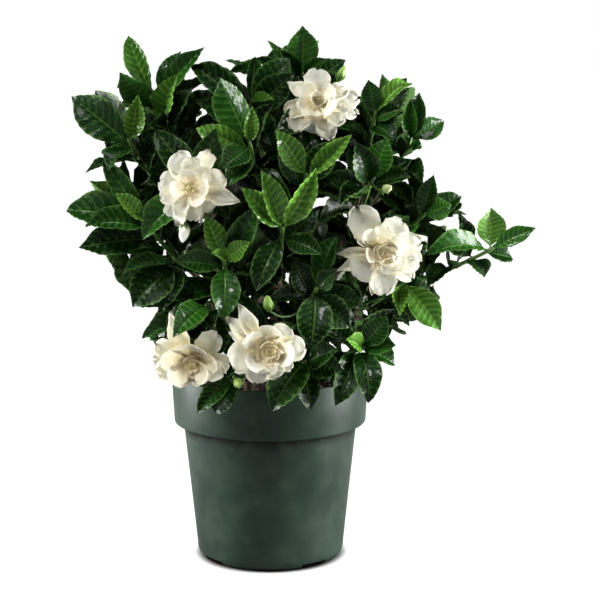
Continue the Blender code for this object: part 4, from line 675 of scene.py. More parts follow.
def sheet_mesh(name, middle, puff, half):
    """A closed thin sheet from tables by row and column: its middle, its bulge, its half thickness."""
    rows, across = len(middle), len(middle[0])
    points, upper, lower, places = [], {}, {}, []
    for i in range(rows):
        for j in range(across):
            ahead = middle[min(i + 1, rows - 1)][j] - middle[max(i - 1, 0)][j]
            right = middle[i][min(j + 1, across - 1)] - middle[i][max(j - 1, 0)]
            normal = right.cross(ahead).normalized()
            centre = middle[i][j] + normal * puff[i][j]
            inside = 0 < i < rows - 1 and 0 < j < across - 1
            thick = normal * half[i][j] if inside else Vector()
            upper[i, j] = len(points)
            points.append(centre + thick)
            lower[i, j] = len(points) if inside else upper[i, j]
            if inside:
                points.append(centre - thick)
            places += [(j / (across - 1), i / (rows - 1))] * (2 if inside else 1)
    faces = []
    for table, turned in ((upper, False), (lower, True)):
        for i in range(rows - 1):
            for j in range(across - 1):
                quad = (table[i, j], table[i, j + 1], table[i + 1, j + 1], table[i + 1, j])
                faces.append(quad[::-1] if turned else quad)
    mesh = bpy.data.meshes.new(name)
    mesh.from_pydata(points, [], faces)
    rim = {upper[key] for key in upper if upper[key] == lower[key]}
    sharp = [edge.vertices[0] in rim and edge.vertices[1] in rim for edge in mesh.edges]
    mesh.attributes.new("sharp_edge", "BOOLEAN", "EDGE").data.foreach_set("value", sharp)
    under = [float(k >= len(faces) // 2) for k in range(len(faces))]
    mesh.attributes.new("under", "FLOAT", "FACE").data.foreach_set("value", under)
    uv = mesh.uv_layers.new(name="sheet")
    uv.data.foreach_set("uv", [x for loop in mesh.loops for x in places[loop.vertex_index]])
    mesh.polygons.foreach_set("use_smooth", [True] * len(faces))
    return mesh


def leaf_half(form, s):
    """Half the width of a detailed leaf of unit length, which ends in a slender point."""
    rise, fall, point = OUTLINE
    b = min(1.0, max(0.0, s - PETIOLE) / (1 - PETIOLE))
    widest = rise / (rise + fall)
    full = b ** rise * (1 - b) ** fall / (widest ** rise * (1 - widest) ** fall)
    full *= 1 - point * max(0.0, (b - 0.72) / 0.28) ** 1.5
    return max(PETIOLE_HALF * min(1.0, 8 * (1 - s)), SLIM[form] * BLADE_HALF * full)


def leaf_point(form, hand, s, u):
    """The point of a detailed leaf: its plan's blade, with its own outline, curl and waves."""
    rib = blade_point(form, hand, s, 0.0)
    slope = arched(math.radians(FORMS[form][0]), s, *BLADE_ARCH)[2]
    half = leaf_half(form, s)
    aside = (blade_point(form, hand, s, u) - rib) * half / blade_half(s)
    height, pace = WAVES
    phase = 2.3 * hand + len(form) + (1.9 if u > 0 else 0.0)
    wave = height * math.sin(pace * s + phase) * u * u * min(1.0, half / (0.5 * BLADE_HALF))
    curl = CURL * half * abs(u) ** 3 * math.sin(3.0 * s + hand + len(form))
    crease = math.sin(math.radians(CREASE)) * half * abs(u)
    return rib + aside + Vector((0, -math.sin(slope), math.cos(slope))) * (wave + curl + crease)


def blade_mesh(form, hand):
    """A detailed leaf of unit length: quilted between its veins, with a sunk mid rib."""
    middle, puff, half = [], [], []
    for i, s in enumerate(LEAF_ROWS):
        between = len(BLADE_FOOT) <= i < len(LEAF_ROWS) - len(BLADE_TIP)
        line, bulge, thick = [], [], []
        for u, swell in zip(BLADE_ACROSS, BLADE_SWELL):
            out = abs(u)
            on_rib = out < RIB_HALF
            place = min(0.999, s + VEIN_RISE * out ** 1.2 * 4 * s * (1 - s)) if s > PETIOLE else s
            line.append(leaf_point(form, hand, place, u))
            wave = (1 if i % 2 else -1) * swell * QUILT * min(1.0, 5 * (1 - s)) if between else 0.0
            bulge.append(wave - (RIB_DIP * (1 - s) if on_rib and s >= PETIOLE else 0.0))
            thick.append(BLADE_KEEL * (1 - 0.7 * s) if on_rib or s < PETIOLE else BLADE_SHEET)
        middle.append(line)
        puff.append(bulge)
        half.append(thick)
    return sheet_mesh(f"leaf_{form}_{hand + 1}", middle, puff, half)


# Petal forms: how far the petal bends back along its length and how far it cups across,
# in degrees, how pointed its tip is (0 to 1), and how deep its ruffles and its notch are.
PETALS = {
    "round": (26, 26, 0.0, 0.018, 0.0),
    "bowl": (-40, 46, 0.1, 0.014, 0.0),
    "roll": (95, 22, 0.1, 0.018, 0.0),
    "point": (38, 40, 0.85, 0.012, 0.0),
    "lobed": (30, 24, 0.0, 0.030, 0.09),
    "frill": (34, 20, 0.1, 0.060, 0.05),
    "furl": (-30, 80, 0.25, 0.030, 0.0),
    "fold": (-20, 110, 0.6, 0.014, 0.0),
}
PETAL_ROWS, PETAL_COLUMNS = 14, 10
PETAL_END = 0.996               # place of its last row
PETAL_CROWDING = 0.92           # how much closer its columns stand towards its edges (0 to 1)
PETAL_ARCH = (1.7, 10)          # how late a petal bends along its length, and pieces to bend it in
PETAL_HALF = 0.4                # half width of a petal of unit length
PETAL_FOOT_SHARE = 0.34         # share of the width at the petal's foot
PETAL_WIDEST = 0.60             # where along its length it is widest
PETAL_SHEET = 0.009             # half thickness
RAGGED = 0.22                   # how uneven its edge is
CRUMPLE = 0.055                 # how far a petal is crumpled out of its smooth form


def petal_half(s, pointed):
    """Half the width of a unit petal at share s of its length."""
    if s <= PETAL_WIDEST:
        widening = math.sin(math.pi / 2 * s / PETAL_WIDEST)
        return PETAL_HALF * (PETAL_FOOT_SHARE + (1 - PETAL_FOOT_SHARE) * widening)
    rest = (s - PETAL_WIDEST) / (1 - PETAL_WIDEST)
    full = math.sqrt(max(0.0, 1 - rest ** 2.6))
    sharp = (1 - rest) ** 1.15
    return PETAL_HALF * max(0.03, full + (sharp - full) * pointed)


def petal_point(form, hand, s, u):
    """The point of a unit petal at share s of its length and u (-1 to 1) across it."""
    bend, cup, pointed, ruffle, notch = PETALS[form]
    y, z, slope = arched(math.radians(bend), s, *PETAL_ARCH)
    width = petal_half(s, pointed)
    edge = abs(u) ** 2.2
    width *= 1 + RAGGED * edge * noise.noise(Vector((9 * s, 2 * u + 4 * hand, len(form))))
    arc = math.radians(cup) * (0.45 + 0.55 * math.sin(math.pi * min(1.0, s * 1.1)))
    side = width * math.sin(arc * u) / arc
    lift = width * (1 - math.cos(arc * u)) / arc
    phase = 2.4 * hand
    lift += ruffle * (edge * math.sin(13 * s + phase + 2 * u) + 0.8 * s ** 4 * math.sin(7 * u + phase))
    lift += 0.020 * math.sin(3.1 * s + 1.7 * hand) * u * s
    side += 0.035 * math.sin(2.6 * s + hand * 2.0) * s
    y -= notch * math.exp(-(u / 0.42) ** 2) * s ** 5
    y += RAGGED * 0.5 * s ** 6 * noise.noise(Vector((3.5 * u, 5 * hand, 2 * len(form))))
    return Vector((side, y - math.sin(slope) * lift, z + math.cos(slope) * lift))


def petal_mesh(form, hand):
    """A detailed petal of unit length, its inner side up."""
    last = PETAL_ROWS - 1
    rows = [PETAL_END * (1 - (1 - i / last) ** 1.35) for i in range(PETAL_ROWS)]
    edge = math.sin(math.pi / 2 * PETAL_CROWDING)
    across = [math.sin(math.pi / 2 * (2 * j / PETAL_COLUMNS - 1) * PETAL_CROWDING) / edge
              for j in range(PETAL_COLUMNS + 1)]

    def crumple(s, u):
        return CRUMPLE * noise.noise(Vector((2.6 * u, 5 * s, 7 * hand + len(form)))) * min(1.0, 3 * s)

    middle = [[petal_point(form, hand, s, u) for u in across] for s in rows]
    puff = [[crumple(s, u) for u in across] for s in rows]
    half = [[PETAL_SHEET * (1.15 - 0.6 * s)] * len(across) for s in rows]
    return sheet_mesh(f"petal_{form}_{hand + 1}", middle, puff, half)


def shape_collection(name, forms, make):
    """Shapes for the growing tree to pick from, and the number of each by form and hand."""
    made = bpy.data.collections.new(name)
    numbers = {}
    for form in forms:
        for hand in sorted(HANDS):
            numbers[form, hand] = len(numbers)
            shape = bpy.data.objects.new(f"{name}_{len(numbers):02d}", make(form, hand))
            made.objects.link(shape)
    return made, numbers


# ---------------------------------------------------------------- geometry trees
def put(tree, kind, inputs=(), **settings):
    """Adds a node and returns its outputs; inputs maps a socket to a value or to what feeds it."""
    node = tree.nodes.new(kind)
    for key, value in settings.items():
        setattr(node, key, value)
    for key, value in dict(inputs).items():
        if isinstance(value, bpy.types.NodeSocket):
            tree.links.new(value, node.inputs[key])
        else:
            node.inputs[key].default_value = value
    return node.outputs


def maths(tree, operation, a, b=0.0):
    return put(tree, "ShaderNodeMath", {0: a, 1: b}, operation=operation)[0]


def geometry_tree(name, sockets):
    """A tree for a modifier, and its inner ends of the named inputs."""
    tree = bpy.data.node_groups.new(name, "GeometryNodeTree")
    for label, kind, *value in (("Geometry", "Geometry"), *sockets):
        made = tree.interface.new_socket(label, in_out="INPUT", socket_type="NodeSocket" + kind)
        if value:
            made.default_value = value[0]
    tree.interface.new_socket("Geometry", in_out="OUTPUT", socket_type="NodeSocketGeometry")
    return tree, tree.nodes.new("NodeGroupInput").outputs


def sown(tree, points, shapes, turn, size, material, extra=()):
    """The shapes of a collection set on points, made real and given their material."""
    shapes = put(tree, "GeometryNodeCollectionInfo", {"Collection": shapes, "Separate Children": True,
                                                      "Reset Children": True})
    turn = put(tree, "FunctionNodeEulerToRotation", {"Euler": turn})
    placed = put(tree, "GeometryNodeInstanceOnPoints", {
        "Points": points, "Instance": shapes[0], "Pick Instance": True, "Rotation": turn[0], "Scale": size,
        **dict(extra)})
    real = put(tree, "GeometryNodeRealizeInstances", {0: placed[0]})
    return put(tree, "GeometryNodeSetMaterial", {"Geometry": real[0], "Material": material})[0]


def join_at_end(tree, *parts):
    """Ends the tree with its parts joined."""
    both = tree.nodes.new("GeometryNodeJoinGeometry")
    for part in parts:
        tree.links.new(part, both.inputs[0])
    tree.links.new(both.outputs[0], tree.nodes.new("NodeGroupOutput").inputs[0])
    return tree


def growing_tree():
    """Grows one piece: a shape on each loose point, and a tube along each chain of edges.

    Points carry turn, size, pick and tone; chains carry radius.
    """
    tree, given = geometry_tree("grow_piece", (
        ("Shapes", "Collection"), ("Shape Size", "Float", 1.0), ("Stem Thickness", "Float", 1.0),
        ("Stem Sides", "Int", 8), ("Relief", "Float", 0.0), ("Relief Scale", "Float", 120.0), ("Seed", "Float", 7.0),
        ("Shape Material", "Material"), ("Stem Material", "Material")))

    def named(kind, name):
        return put(tree, "GeometryNodeInputNamedAttribute", {"Name": name}, data_type=kind)["Attribute"]

    def scaled(vector, scale):
        return put(tree, "ShaderNodeVectorMath", {0: vector, "Scale": scale}, operation="SCALE")[0]

    parted = put(tree, "GeometryNodeSeparateGeometry", {"Geometry": given["Geometry"],
                                                        "Selection": named("BOOLEAN", "joint")})
    sheets = sown(tree, parted["Selection"], given["Shapes"], named("FLOAT_VECTOR", "turn"),
                  scaled(named("FLOAT_VECTOR", "size"), given["Shape Size"]), given["Shape Material"],
                  {"Instance Index": named("INT", "pick")})

    chain = put(tree, "GeometryNodeMeshToCurve", {"Mesh": parted["Inverted"]})
    ring = put(tree, "GeometryNodeCurvePrimitiveCircle", {"Resolution": given["Stem Sides"], "Radius": 1.0})
    thick = maths(tree, "MULTIPLY", named("FLOAT", "radius"), given["Stem Thickness"])
    tube = put(tree, "GeometryNodeCurveToMesh", {"Curve": chain[0], "Profile Curve": ring[0], "Scale": thick,
                                                 "Fill Caps": True})
    bumps = put(tree, "ShaderNodeTexNoise", {"W": given["Seed"], "Scale": given["Relief Scale"], "Detail": 2.0},
                noise_dimensions="4D")
    out = maths(tree, "MULTIPLY", maths(tree, "SUBTRACT", bumps["Fac"], 0.5), given["Relief"])
    push = scaled(put(tree, "GeometryNodeInputNormal")[0], out)
    tube = put(tree, "GeometryNodeSetPosition", {"Geometry": tube[0], "Offset": push})
    tube = put(tree, "GeometryNodeSetShadeSmooth", {"Geometry": tube[0], "Shade Smooth": True})
    tube = put(tree, "GeometryNodeSetMaterial", {"Geometry": tube[0], "Material": given["Stem Material"]})
    return join_at_end(tree, tube[0], sheets)


def scatter_tree():
    """Scatters lumps over the upper side of a piece."""
    tree, given = geometry_tree("scatter_lumps", (
        ("Lumps", "Collection"), ("Density", "Float", 10000.0), ("Smallest", "Float", 1.0), ("Largest", "Float", 2.0),
        ("Seed", "Int", 1), ("Material", "Material")))
    lean = put(tree, "ShaderNodeSeparateXYZ", {0: put(tree, "GeometryNodeInputNormal")[0]})["Z"]
    spots = put(tree, "GeometryNodeDistributePointsOnFaces", {
        "Mesh": given["Geometry"], "Selection": maths(tree, "GREATER_THAN", lean, 0.6), "Density": given["Density"],
        "Seed": given["Seed"]})
    turn = put(tree, "FunctionNodeRandomValue", {1: (math.tau,) * 3, "Seed": given["Seed"]}, data_type="FLOAT_VECTOR")
    size = put(tree, "FunctionNodeRandomValue", {2: given["Smallest"], 3: given["Largest"], "Seed": given["Seed"]},
               data_type="FLOAT")
    lumps = sown(tree, spots[0], given["Lumps"], turn[0], size[1], given["Material"])
    return join_at_end(tree, lumps, given["Geometry"])


def add_tree(made, tree, values):
    """Puts a tree on an object, with values for its named inputs."""
    modifier = made.modifiers.new(tree.name, "NODES")
    modifier.node_group = tree
    sockets = {item.name: item.identifier for item in tree.interface.items_tree if item.in_out == "INPUT"}
    for label, value in values.items():
        modifier[sockets[label]] = value


def evaluated_mesh(made):
    """A plain mesh of the object as its modifiers leave it."""
    bpy.context.view_layer.update()
    graph = bpy.context.evaluated_depsgraph_get()
    return bpy.data.meshes.new_from_object(made.evaluated_get(graph), preserve_all_data_layers=True, depsgraph=graph)


def shown(name, mesh, *finishes):
    """A new object in the scene."""
    made = bpy.data.objects.new(name, mesh)
    for finish in finishes:
        mesh.materials.append(finish)
    bpy.context.scene.collection.objects.link(made)
    return made


def grown(name, tree, chains, joints, inputs):
    """A plain object grown from chains of (points, radii) and joints of (matrix, number, tone)."""
    points, edges, radii = [], [], []
    for path, thickness in chains:
        edges += [(len(points) + i, len(points) + i + 1) for i in range(len(path) - 1)]
        points += [p * MM for p in path]
        radii += [r * MM for r in thickness]
    first, more = len(points), len(joints)
    points += [matrix.translation * MM for matrix, _, _ in joints]
    mesh = bpy.data.meshes.new(name)
    mesh.from_pydata(points, edges, [])
    turns, sizes = [0.0] * 3 * first, [0.0] * 3 * first
    for matrix, _, _ in joints:
        turns += matrix.to_euler()
        sizes += [length * MM for length in matrix.to_scale()]
    for label, kind, field, values in (
            ("joint", "BOOLEAN", "value", [False] * first + [True] * more),
            ("turn", "FLOAT_VECTOR", "vector", turns),
            ("size", "FLOAT_VECTOR", "vector", sizes),
            ("pick", "INT", "value", [0] * first + [number for _, number, _ in joints]),
            ("tone", "FLOAT", "value", [0.0] * first + [tone for _, _, tone in joints]),
            ("radius", "FLOAT", "value", radii + [0.0] * more)):
        mesh.attributes.new(label, kind, "POINT").data.foreach_set(field, values)
    seed = shown(name + "_seed", mesh)
    add_tree(seed, tree, inputs)
    plain = evaluated_mesh(seed)
    plain.name = name
    bpy.data.objects.remove(seed, do_unlink=True)
    return shown(name, plain)


# ---------------------------------------------------------------- finishes
def effect(name, inputs, outputs):
    """A node group that materials share, with its inner ends of the named inputs and outputs."""
    tree = bpy.data.node_groups.new(name, "ShaderNodeTree")
    for label, value in inputs:
        tree.interface.new_socket(label, in_out="INPUT", socket_type="NodeSocketFloat").default_value = value
    for label, kind in outputs:
        tree.interface.new_socket(label, in_out="OUTPUT", socket_type="NodeSocket" + kind)
    return tree, tree.nodes.new("NodeGroupInput").outputs, tree.nodes.new("NodeGroupOutput").inputs


def mottle_effect():
    """Soft cloudy patches that stay with the piece, as a mask and as a fine relief."""
    tree, given, result = effect(
        "mottle", (("Scale", 100.0), ("Detail", 3.0), ("Low", 0.35), ("High", 0.65), ("Relief", 0.0002)),
        (("Mask", "Float"), ("Normal", "Vector")))
    place = put(tree, "ShaderNodeTexCoord")["Object"]
    cloud = put(tree, "ShaderNodeTexNoise", {"Vector": place, "Scale": given["Scale"], "Detail": given["Detail"]})
    mask = put(tree, "ShaderNodeMapRange",
               {"Value": cloud["Fac"], "From Min": given["Low"], "From Max": given["High"]})
    bump = put(tree, "ShaderNodeBump", {"Height": cloud["Fac"], "Distance": given["Relief"]})
    tree.links.new(mask[0], result["Mask"])
    tree.links.new(bump[0], result["Normal"])
    return tree


def sheet_effect():
    """Where on a leaf or petal a point is: its tone, its underside, and its place across and along."""
    tree, _, result = effect("on_the_sheet", (), [(label, "Float") for label in ("Tone", "Under", "Aside", "Along")])
    for label in ("tone", "under"):
        tree.links.new(put(tree, "ShaderNodeAttribute", attribute_name=label)["Fac"], result[label.title()])
    place = put(tree, "ShaderNodeSeparateXYZ", {0: put(tree, "ShaderNodeUVMap", uv_map="sheet")[0]})
    aside = maths(tree, "ABSOLUTE", maths(tree, "SUBTRACT", place["X"], 0.5))
    tree.links.new(aside, result["Aside"])
    tree.links.new(place["Y"], result["Along"])
    return tree


MOTTLE, ON_SHEET = mottle_effect(), sheet_effect()


class Finish:
    """One material while it is made, with short words for its usual nodes."""

    def __init__(self, name):
        self.material = bpy.data.materials.new(name)
        self.material.use_nodes = True
        self.tree = self.material.node_tree
        self.tree.nodes.clear()

    def place(self):
        return put(self.tree, "ShaderNodeTexCoord")["Object"]

    def vectors(self, operation, a, *b):
        """The vector and the value that this vector operation gives."""
        return put(self.tree, "ShaderNodeVectorMath", dict(enumerate((a, *b))), operation=operation)

    def maths(self, operation, a, b=0.0):
        return maths(self.tree, operation, a, b)

    def mapped(self, value, low, high, first=0.0, last=1.0, smooth=False):
        inputs = {"Value": value, "From Min": low, "From Max": high, "To Min": first, "To Max": last}
        kind = "SMOOTHSTEP" if smooth else "LINEAR"
        return put(self.tree, "ShaderNodeMapRange", inputs, interpolation_type=kind)[0]

    def mixed(self, share, under, over, way="MIX"):
        """Colour `under` with colour `over` laid on it by share."""
        under, over = ((*colour, 1.0) if isinstance(colour, tuple) else colour for colour in (under, over))
        inputs = {0: share, 6: under, 7: over}
        return put(self.tree, "ShaderNodeMix", inputs, data_type="RGBA", blend_type=way)[2]

    def ramp(self, value, *stops):
        """A colour that runs through the stops, each a place and its red, green and blue."""
        node = self.tree.nodes.new("ShaderNodeValToRGB")
        self.tree.links.new(value, node.inputs["Fac"])
        elements = node.color_ramp.elements
        elements.remove(elements[-1])
        for k, (place, *colour) in enumerate(stops):
            element = elements[0] if k == 0 else elements.new(place)
            element.position, element.color = place, (*colour, 1.0)
        return node.outputs["Color"]

    def grouped(self, group, inputs=()):
        """The outputs of an effect placed in this material with its own values."""
        return put(self.tree, "ShaderNodeGroup", inputs, node_tree=group)

    def done(self, inputs):
        shader = put(self.tree, "ShaderNodeBsdfPrincipled", inputs)
        put(self.tree, "ShaderNodeOutputMaterial", {"Surface": shader[0]})
        return self.material


CROWN_CENTRE = (0.008, 0.0, 0.290)
CROWN_HALF = (0.150, 0.112, 0.145)      # half its width, depth and height


def leaf_finish():
    """Glossy leaf: dark when old, yellow-green when new, pale veins, duller below.

    Leaves deep in the crown get painted shade: darker colour and a thinner coat than those on its outside.
    """
    f = Finish("gardenia_leaf")
    # Painted shade: the mask `outer` darkens the colour and thins the coat of leaves towards the crown's middle.
    place = f.vectors("SUBTRACT", f.place(), CROWN_CENTRE)[0]
    away = f.vectors("LENGTH", f.vectors("DIVIDE", place, CROWN_HALF)[0])["Value"]
    outer = f.mapped(away, 0.50, 1.10, 0.20, 1.0, smooth=True)
    sheet = f.grouped(ON_SHEET)
    cloud = f.grouped(MOTTLE, {"Scale": 70.0, "Relief": 0.0006})
    grain = f.grouped(MOTTLE, {"Scale": 520.0, "Detail": 3.0, "Relief": 0.00045})
    tone = f.maths("ADD", sheet["Tone"], f.mapped(cloud["Mask"], 0, 1, -0.06, 0.07))
    tone = f.maths("ADD", tone, f.mapped(sheet["Along"], 0.2, 1.0, 0.03, -0.03))
    # The near-black end of this ramp is partly old leaves' own dark green and partly painted shade inside the crown.
    green = f.ramp(tone, (0.0, 0.0006, 0.0045, 0.0006), (0.3, 0.008, 0.047, 0.004), (0.6, 0.035, 0.150, 0.014),
                   (1.0, 0.118, 0.285, 0.036))
    wave = f.maths("PINGPONG", f.maths("MULTIPLY", sheet["Along"], len(LEAF_ROWS) / 2 - 0.5), 0.5)
    hollow = f.mixed(1.0, green, (0.50, 0.58, 0.50), "MULTIPLY")
    green = f.mixed(f.mapped(wave, 0.15, 0.45, 0.0, 0.75, smooth=True), green, hollow)
    vein = f.maths("MULTIPLY", f.mapped(wave, 0.13, 0.02, smooth=True), f.mapped(tone, 0.10, 0.55, 0.20, 0.52))
    rib = f.mapped(sheet["Aside"], 0.080, 0.045, 0.0, 0.65, smooth=True)
    margin = f.mapped(sheet["Aside"], 0.450, 0.485, 0.0, 0.85, smooth=True)
    pale = f.maths("MAXIMUM", f.maths("MAXIMUM", vein, rib), margin)
    lighter = f.mixed(1.0, green, (5.0, 3.4, 4.0), "MULTIPLY")
    green = f.mixed(pale, green, f.mixed(0.45, lighter, (0.14, 0.26, 0.07)))
    green = f.mixed(f.maths("MULTIPLY", sheet["Under"], 0.7), green, (0.060, 0.125, 0.032))
    # Painted shade deep in the crown.
    green = f.mixed(1.0, green, outer, "MULTIPLY")
    rough = f.maths("ADD", f.mapped(cloud["Mask"], 0, 1, 0.26, 0.38), f.maths("MULTIPLY", sheet["Under"], 0.30))
    # The coat also thins under the painted shade deep in the crown.
    wax = f.maths("MULTIPLY", f.mapped(tone, 0.0, 0.35, 0.045, 0.26), outer)
    return f.done({"Base Color": green, "Roughness": rough, "Normal": grain["Normal"], "Coat Weight": wax,
                   "Coat Roughness": 0.08, "Specular IOR Level": 0.07})


def petal_finish():
    """Thick waxy white petal, creamier at its foot and greener on its outer side."""
    f = Finish("gardenia_petal")
    sheet = f.grouped(ON_SHEET)
    cloud = f.grouped(MOTTLE, {"Scale": 160.0, "Relief": 0.0006})
    foot = f.mapped(sheet["Along"], 0.62, 0.0, 0.0, 0.75, smooth=True)
    cream = f.maths("ADD", foot, f.maths("MULTIPLY", sheet["Tone"], 0.95))
    cream = f.maths("ADD", cream, f.mapped(cloud["Mask"], 0, 1, -0.03, 0.05))
    colour = f.ramp(cream, (0.0, 0.680, 0.662, 0.525), (0.30, 0.700, 0.655, 0.470), (0.6, 0.900, 0.780, 0.520),
                    (1.0, 0.860, 0.740, 0.430))
    colour = f.mixed(f.maths("MULTIPLY", sheet["Under"], 0.28), colour, (0.700, 0.760, 0.520))
    rough = f.mapped(cloud["Mask"], 0, 1, 0.46, 0.60)
    return f.done({"Base Color": colour, "Roughness": rough, "Normal": cloud["Normal"], "Subsurface Weight": 0.45,
                   "Subsurface Scale": 0.006, "Subsurface Radius": (1.0, 0.85, 0.6), "Specular IOR Level": 0.4})


def plain_finish(name, scale, rough, relief, *stops):
    """A finish of cloudy patches that run through the stops."""
    f = Finish(name)
    cloud = f.grouped(MOTTLE, {"Scale": scale, "Low": 0.3, "High": 0.7, "Relief": relief, "Detail": 4.0})
    return f.done({"Base Color": f.ramp(cloud["Mask"], *stops), "Roughness": f.mapped(cloud["Mask"], 0, 1, *rough),
                   "Normal": cloud["Normal"]})


def bud_finish():
    """A bud by its tone: green when young, white when it is about to open."""
    f = Finish("gardenia_bud")
    tone = put(f.tree, "ShaderNodeAttribute", attribute_name="tone")["Fac"]
    cloud = f.grouped(MOTTLE, {"Scale": 300.0, "Relief": 0.0003})
    mix = f.maths("ADD", tone, f.mapped(cloud["Mask"], 0, 1, -0.04, 0.04))
    colour = f.ramp(mix, (0.0, 0.10, 0.24, 0.03), (0.4, 0.30, 0.45, 0.10), (0.75, 0.70, 0.74, 0.46),
                    (1.0, 0.88, 0.87, 0.78))
    return f.done({"Base Color": colour, "Roughness": f.mapped(cloud["Mask"], 0, 1, 0.40, 0.50),
                   "Normal": cloud["Normal"], "Subsurface Weight": 0.1, "Subsurface Scale": 0.002})


def pot_finish():
    """Moulded green plastic with cloudy wear, paler where dust and water have dried on it, and darker in a band of
    painted shade just under the rim band.
    """
    f = Finish("pot_moulded_green")
    cloud = f.grouped(MOTTLE, {"Scale": 22.0, "Detail": 5.0, "Low": 0.38, "High": 0.66, "Relief": 0.0008})
    dust = f.grouped(MOTTLE, {"Scale": 60.0, "Detail": 6.0, "Low": 0.45, "High": 0.75, "Relief": 0.0003})["Mask"]
    green = f.ramp(cloud["Mask"], (0.0, 0.0082, 0.0195, 0.012), (0.5, 0.011, 0.025, 0.0155),
                   (1.0, 0.016, 0.0325, 0.020))
    green = f.mixed(f.mapped(dust, 0, 1, 0.0, 0.16), green, (0.075, 0.105, 0.075))
    height = put(f.tree, "ShaderNodeSeparateXYZ", {0: f.place()})["Z"]
    edge = f.maths("SUBTRACT", height, f.mapped(dust, 0, 1, 0.0, 0.004))
    # Painted shade: a dark, rougher band on the wall just under the rim band, where its overhang would shade it.
    below_band = f.mapped(height, (POT_BAND_FROM - 2.0) * MM, (POT_BAND_FROM - 0.5) * MM, 1.0, 0.0)
    near_band = f.mapped(edge, (POT_BAND_FROM - 12.0) * MM, (POT_BAND_FROM - 3.0) * MM, 0.0, 0.95)
    band_shade = f.maths("MULTIPLY", below_band, near_band)
    green = f.mixed(band_shade, green, (0.0015, 0.0025, 0.002))
    rough = f.maths("ADD", f.mapped(cloud["Mask"], 0, 1, 0.36, 0.48), f.maths("MULTIPLY", band_shade, 0.5))
    return f.done({"Base Color": green, "Roughness": rough, "Normal": cloud["Normal"], "Specular IOR Level": 0.18})


FLOOR_GLOW = 0.70               # light that the open paper sends straight to the camera


def floor_finish():
    """Pale paper that looks white wherever the pot doesn't stand on it or close by; under and round the pot's foot it
    carries a painted contact shadow.
    """
    f = Finish("floor_paper")
    cloud = f.grouped(MOTTLE, {"Scale": 0.6, "Relief": 0.0})
    foot = POT_FOOT_RADIUS * MM
    away = f.vectors("LENGTH", f.place())["Value"]
    paper = f.ramp(cloud["Mask"], (0.0, 0.34, 0.34, 0.34), (1.0, 0.37, 0.37, 0.37))
    # Painted shadow: the paper turns near black under the pot's foot.
    paper = f.mixed(f.mapped(away, 0.92 * foot, 0.99 * foot), (0.01, 0.01, 0.01), paper)
    seen = put(f.tree, "ShaderNodeLightPath")["Is Camera Ray"]
    # Painted shadow: the glow to the camera fades out close round the pot's foot.
    open_paper = f.mapped(away, 0.97 * foot, 1.07 * foot, smooth=True)
    glow = f.mixed(f.maths("MULTIPLY", seen, open_paper), (0.0, 0.0, 0.0), (1.0, 1.0, 1.0))
    return f.done({"Base Color": paper, "Roughness": f.mapped(cloud["Mask"], 0, 1, 0.9, 0.95),
                   "Emission Color": glow, "Emission Strength": FLOOR_GLOW, "Specular IOR Level": 0.0})


LEAF_FINISH, PETAL_FINISH, BUD_FINISH = leaf_finish(), petal_finish(), bud_finish()
SHOOT_FINISH = plain_finish("green_shoot", 180.0, (0.42, 0.55), 0.0002,
                            (0.0, 0.055, 0.130, 0.022), (1.0, 0.130, 0.240, 0.045))
CALYX_FINISH = plain_finish("calyx_green", 200.0, (0.38, 0.50), 0.0002,
                            (0.0, 0.060, 0.170, 0.022), (1.0, 0.150, 0.300, 0.050))
BARK_FINISH = plain_finish("young_bark", 240.0, (0.75, 0.9), 0.0012,
                           (0.0, 0.060, 0.040, 0.024), (0.5, 0.135, 0.100, 0.066), (1.0, 0.240, 0.200, 0.150))
STAMEN_FINISH = plain_finish("stamen_yellow", 500.0, (0.55, 0.7), 0.0002,
                             (0.0, 0.60, 0.48, 0.20), (1.0, 0.80, 0.74, 0.46))
SOIL_FINISH = plain_finish("peat_soil", 420.0, (0.85, 0.95), 0.002,
                           (0.0, 0.010, 0.006, 0.004), (0.6, 0.034, 0.021, 0.013), (1.0, 0.075, 0.050, 0.032))
PERLITE_FINISH = plain_finish("perlite_white", 700.0, (0.8, 0.9), 0.0006,
                              (0.0, 0.55, 0.53, 0.48), (1.0, 0.82, 0.81, 0.77))
POT_FINISH, FLOOR_FINISH = pot_finish(), floor_finish()


# ---------------------------------------------------------------- pieces
def ready(made, node):
    """The finished piece stands for its node and goes with the body."""
    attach(made, "root")
    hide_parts(node)


def joined(parts):
    """The parts as one object, which keeps the first one's name."""
    with bpy.context.temp_override(active_object=parts[0], selected_objects=parts, selected_editable_objects=parts):
        bpy.ops.object.join()
    return parts[0]


def turned_mesh(name, profile, sides, ripple=lambda share, turn, radius, height: (radius, height)):
    """A closed mesh round +Z from (radius, height) pairs, which start and end on the axis."""
    (_, top), *rings, (_, foot) = profile
    points = [Vector((0, 0, top))]
    for i, (radius, height) in enumerate(rings):
        for j in range(sides):
            turn = math.tau * j / sides
            out, up = ripple(i / (len(rings) - 1), turn, radius, height)
            points.append(Vector((out * math.cos(turn), out * math.sin(turn), up)))
    points.append(Vector((0, 0, foot)))
    last = len(points) - 1
    faces = []
    for j in range(sides):
        k = (j + 1) % sides
        faces.append((0, 1 + j, 1 + k))
        faces.append((last, last - sides + k, last - sides + j))
        for low in range(1, last - sides, sides):
            faces.append((low + j, low + sides + j, low + sides + k, low + k))
    mesh = bpy.data.meshes.new(name)
    mesh.from_pydata([p * MM for p in points], [], faces)
    mesh.polygons.foreach_set("use_smooth", [True] * len(faces))
    return mesh


def settle(made):
    """Takes the object's modifiers into its mesh."""
    plain = evaluated_mesh(made)
    made.modifiers.clear()
    made.data = plain


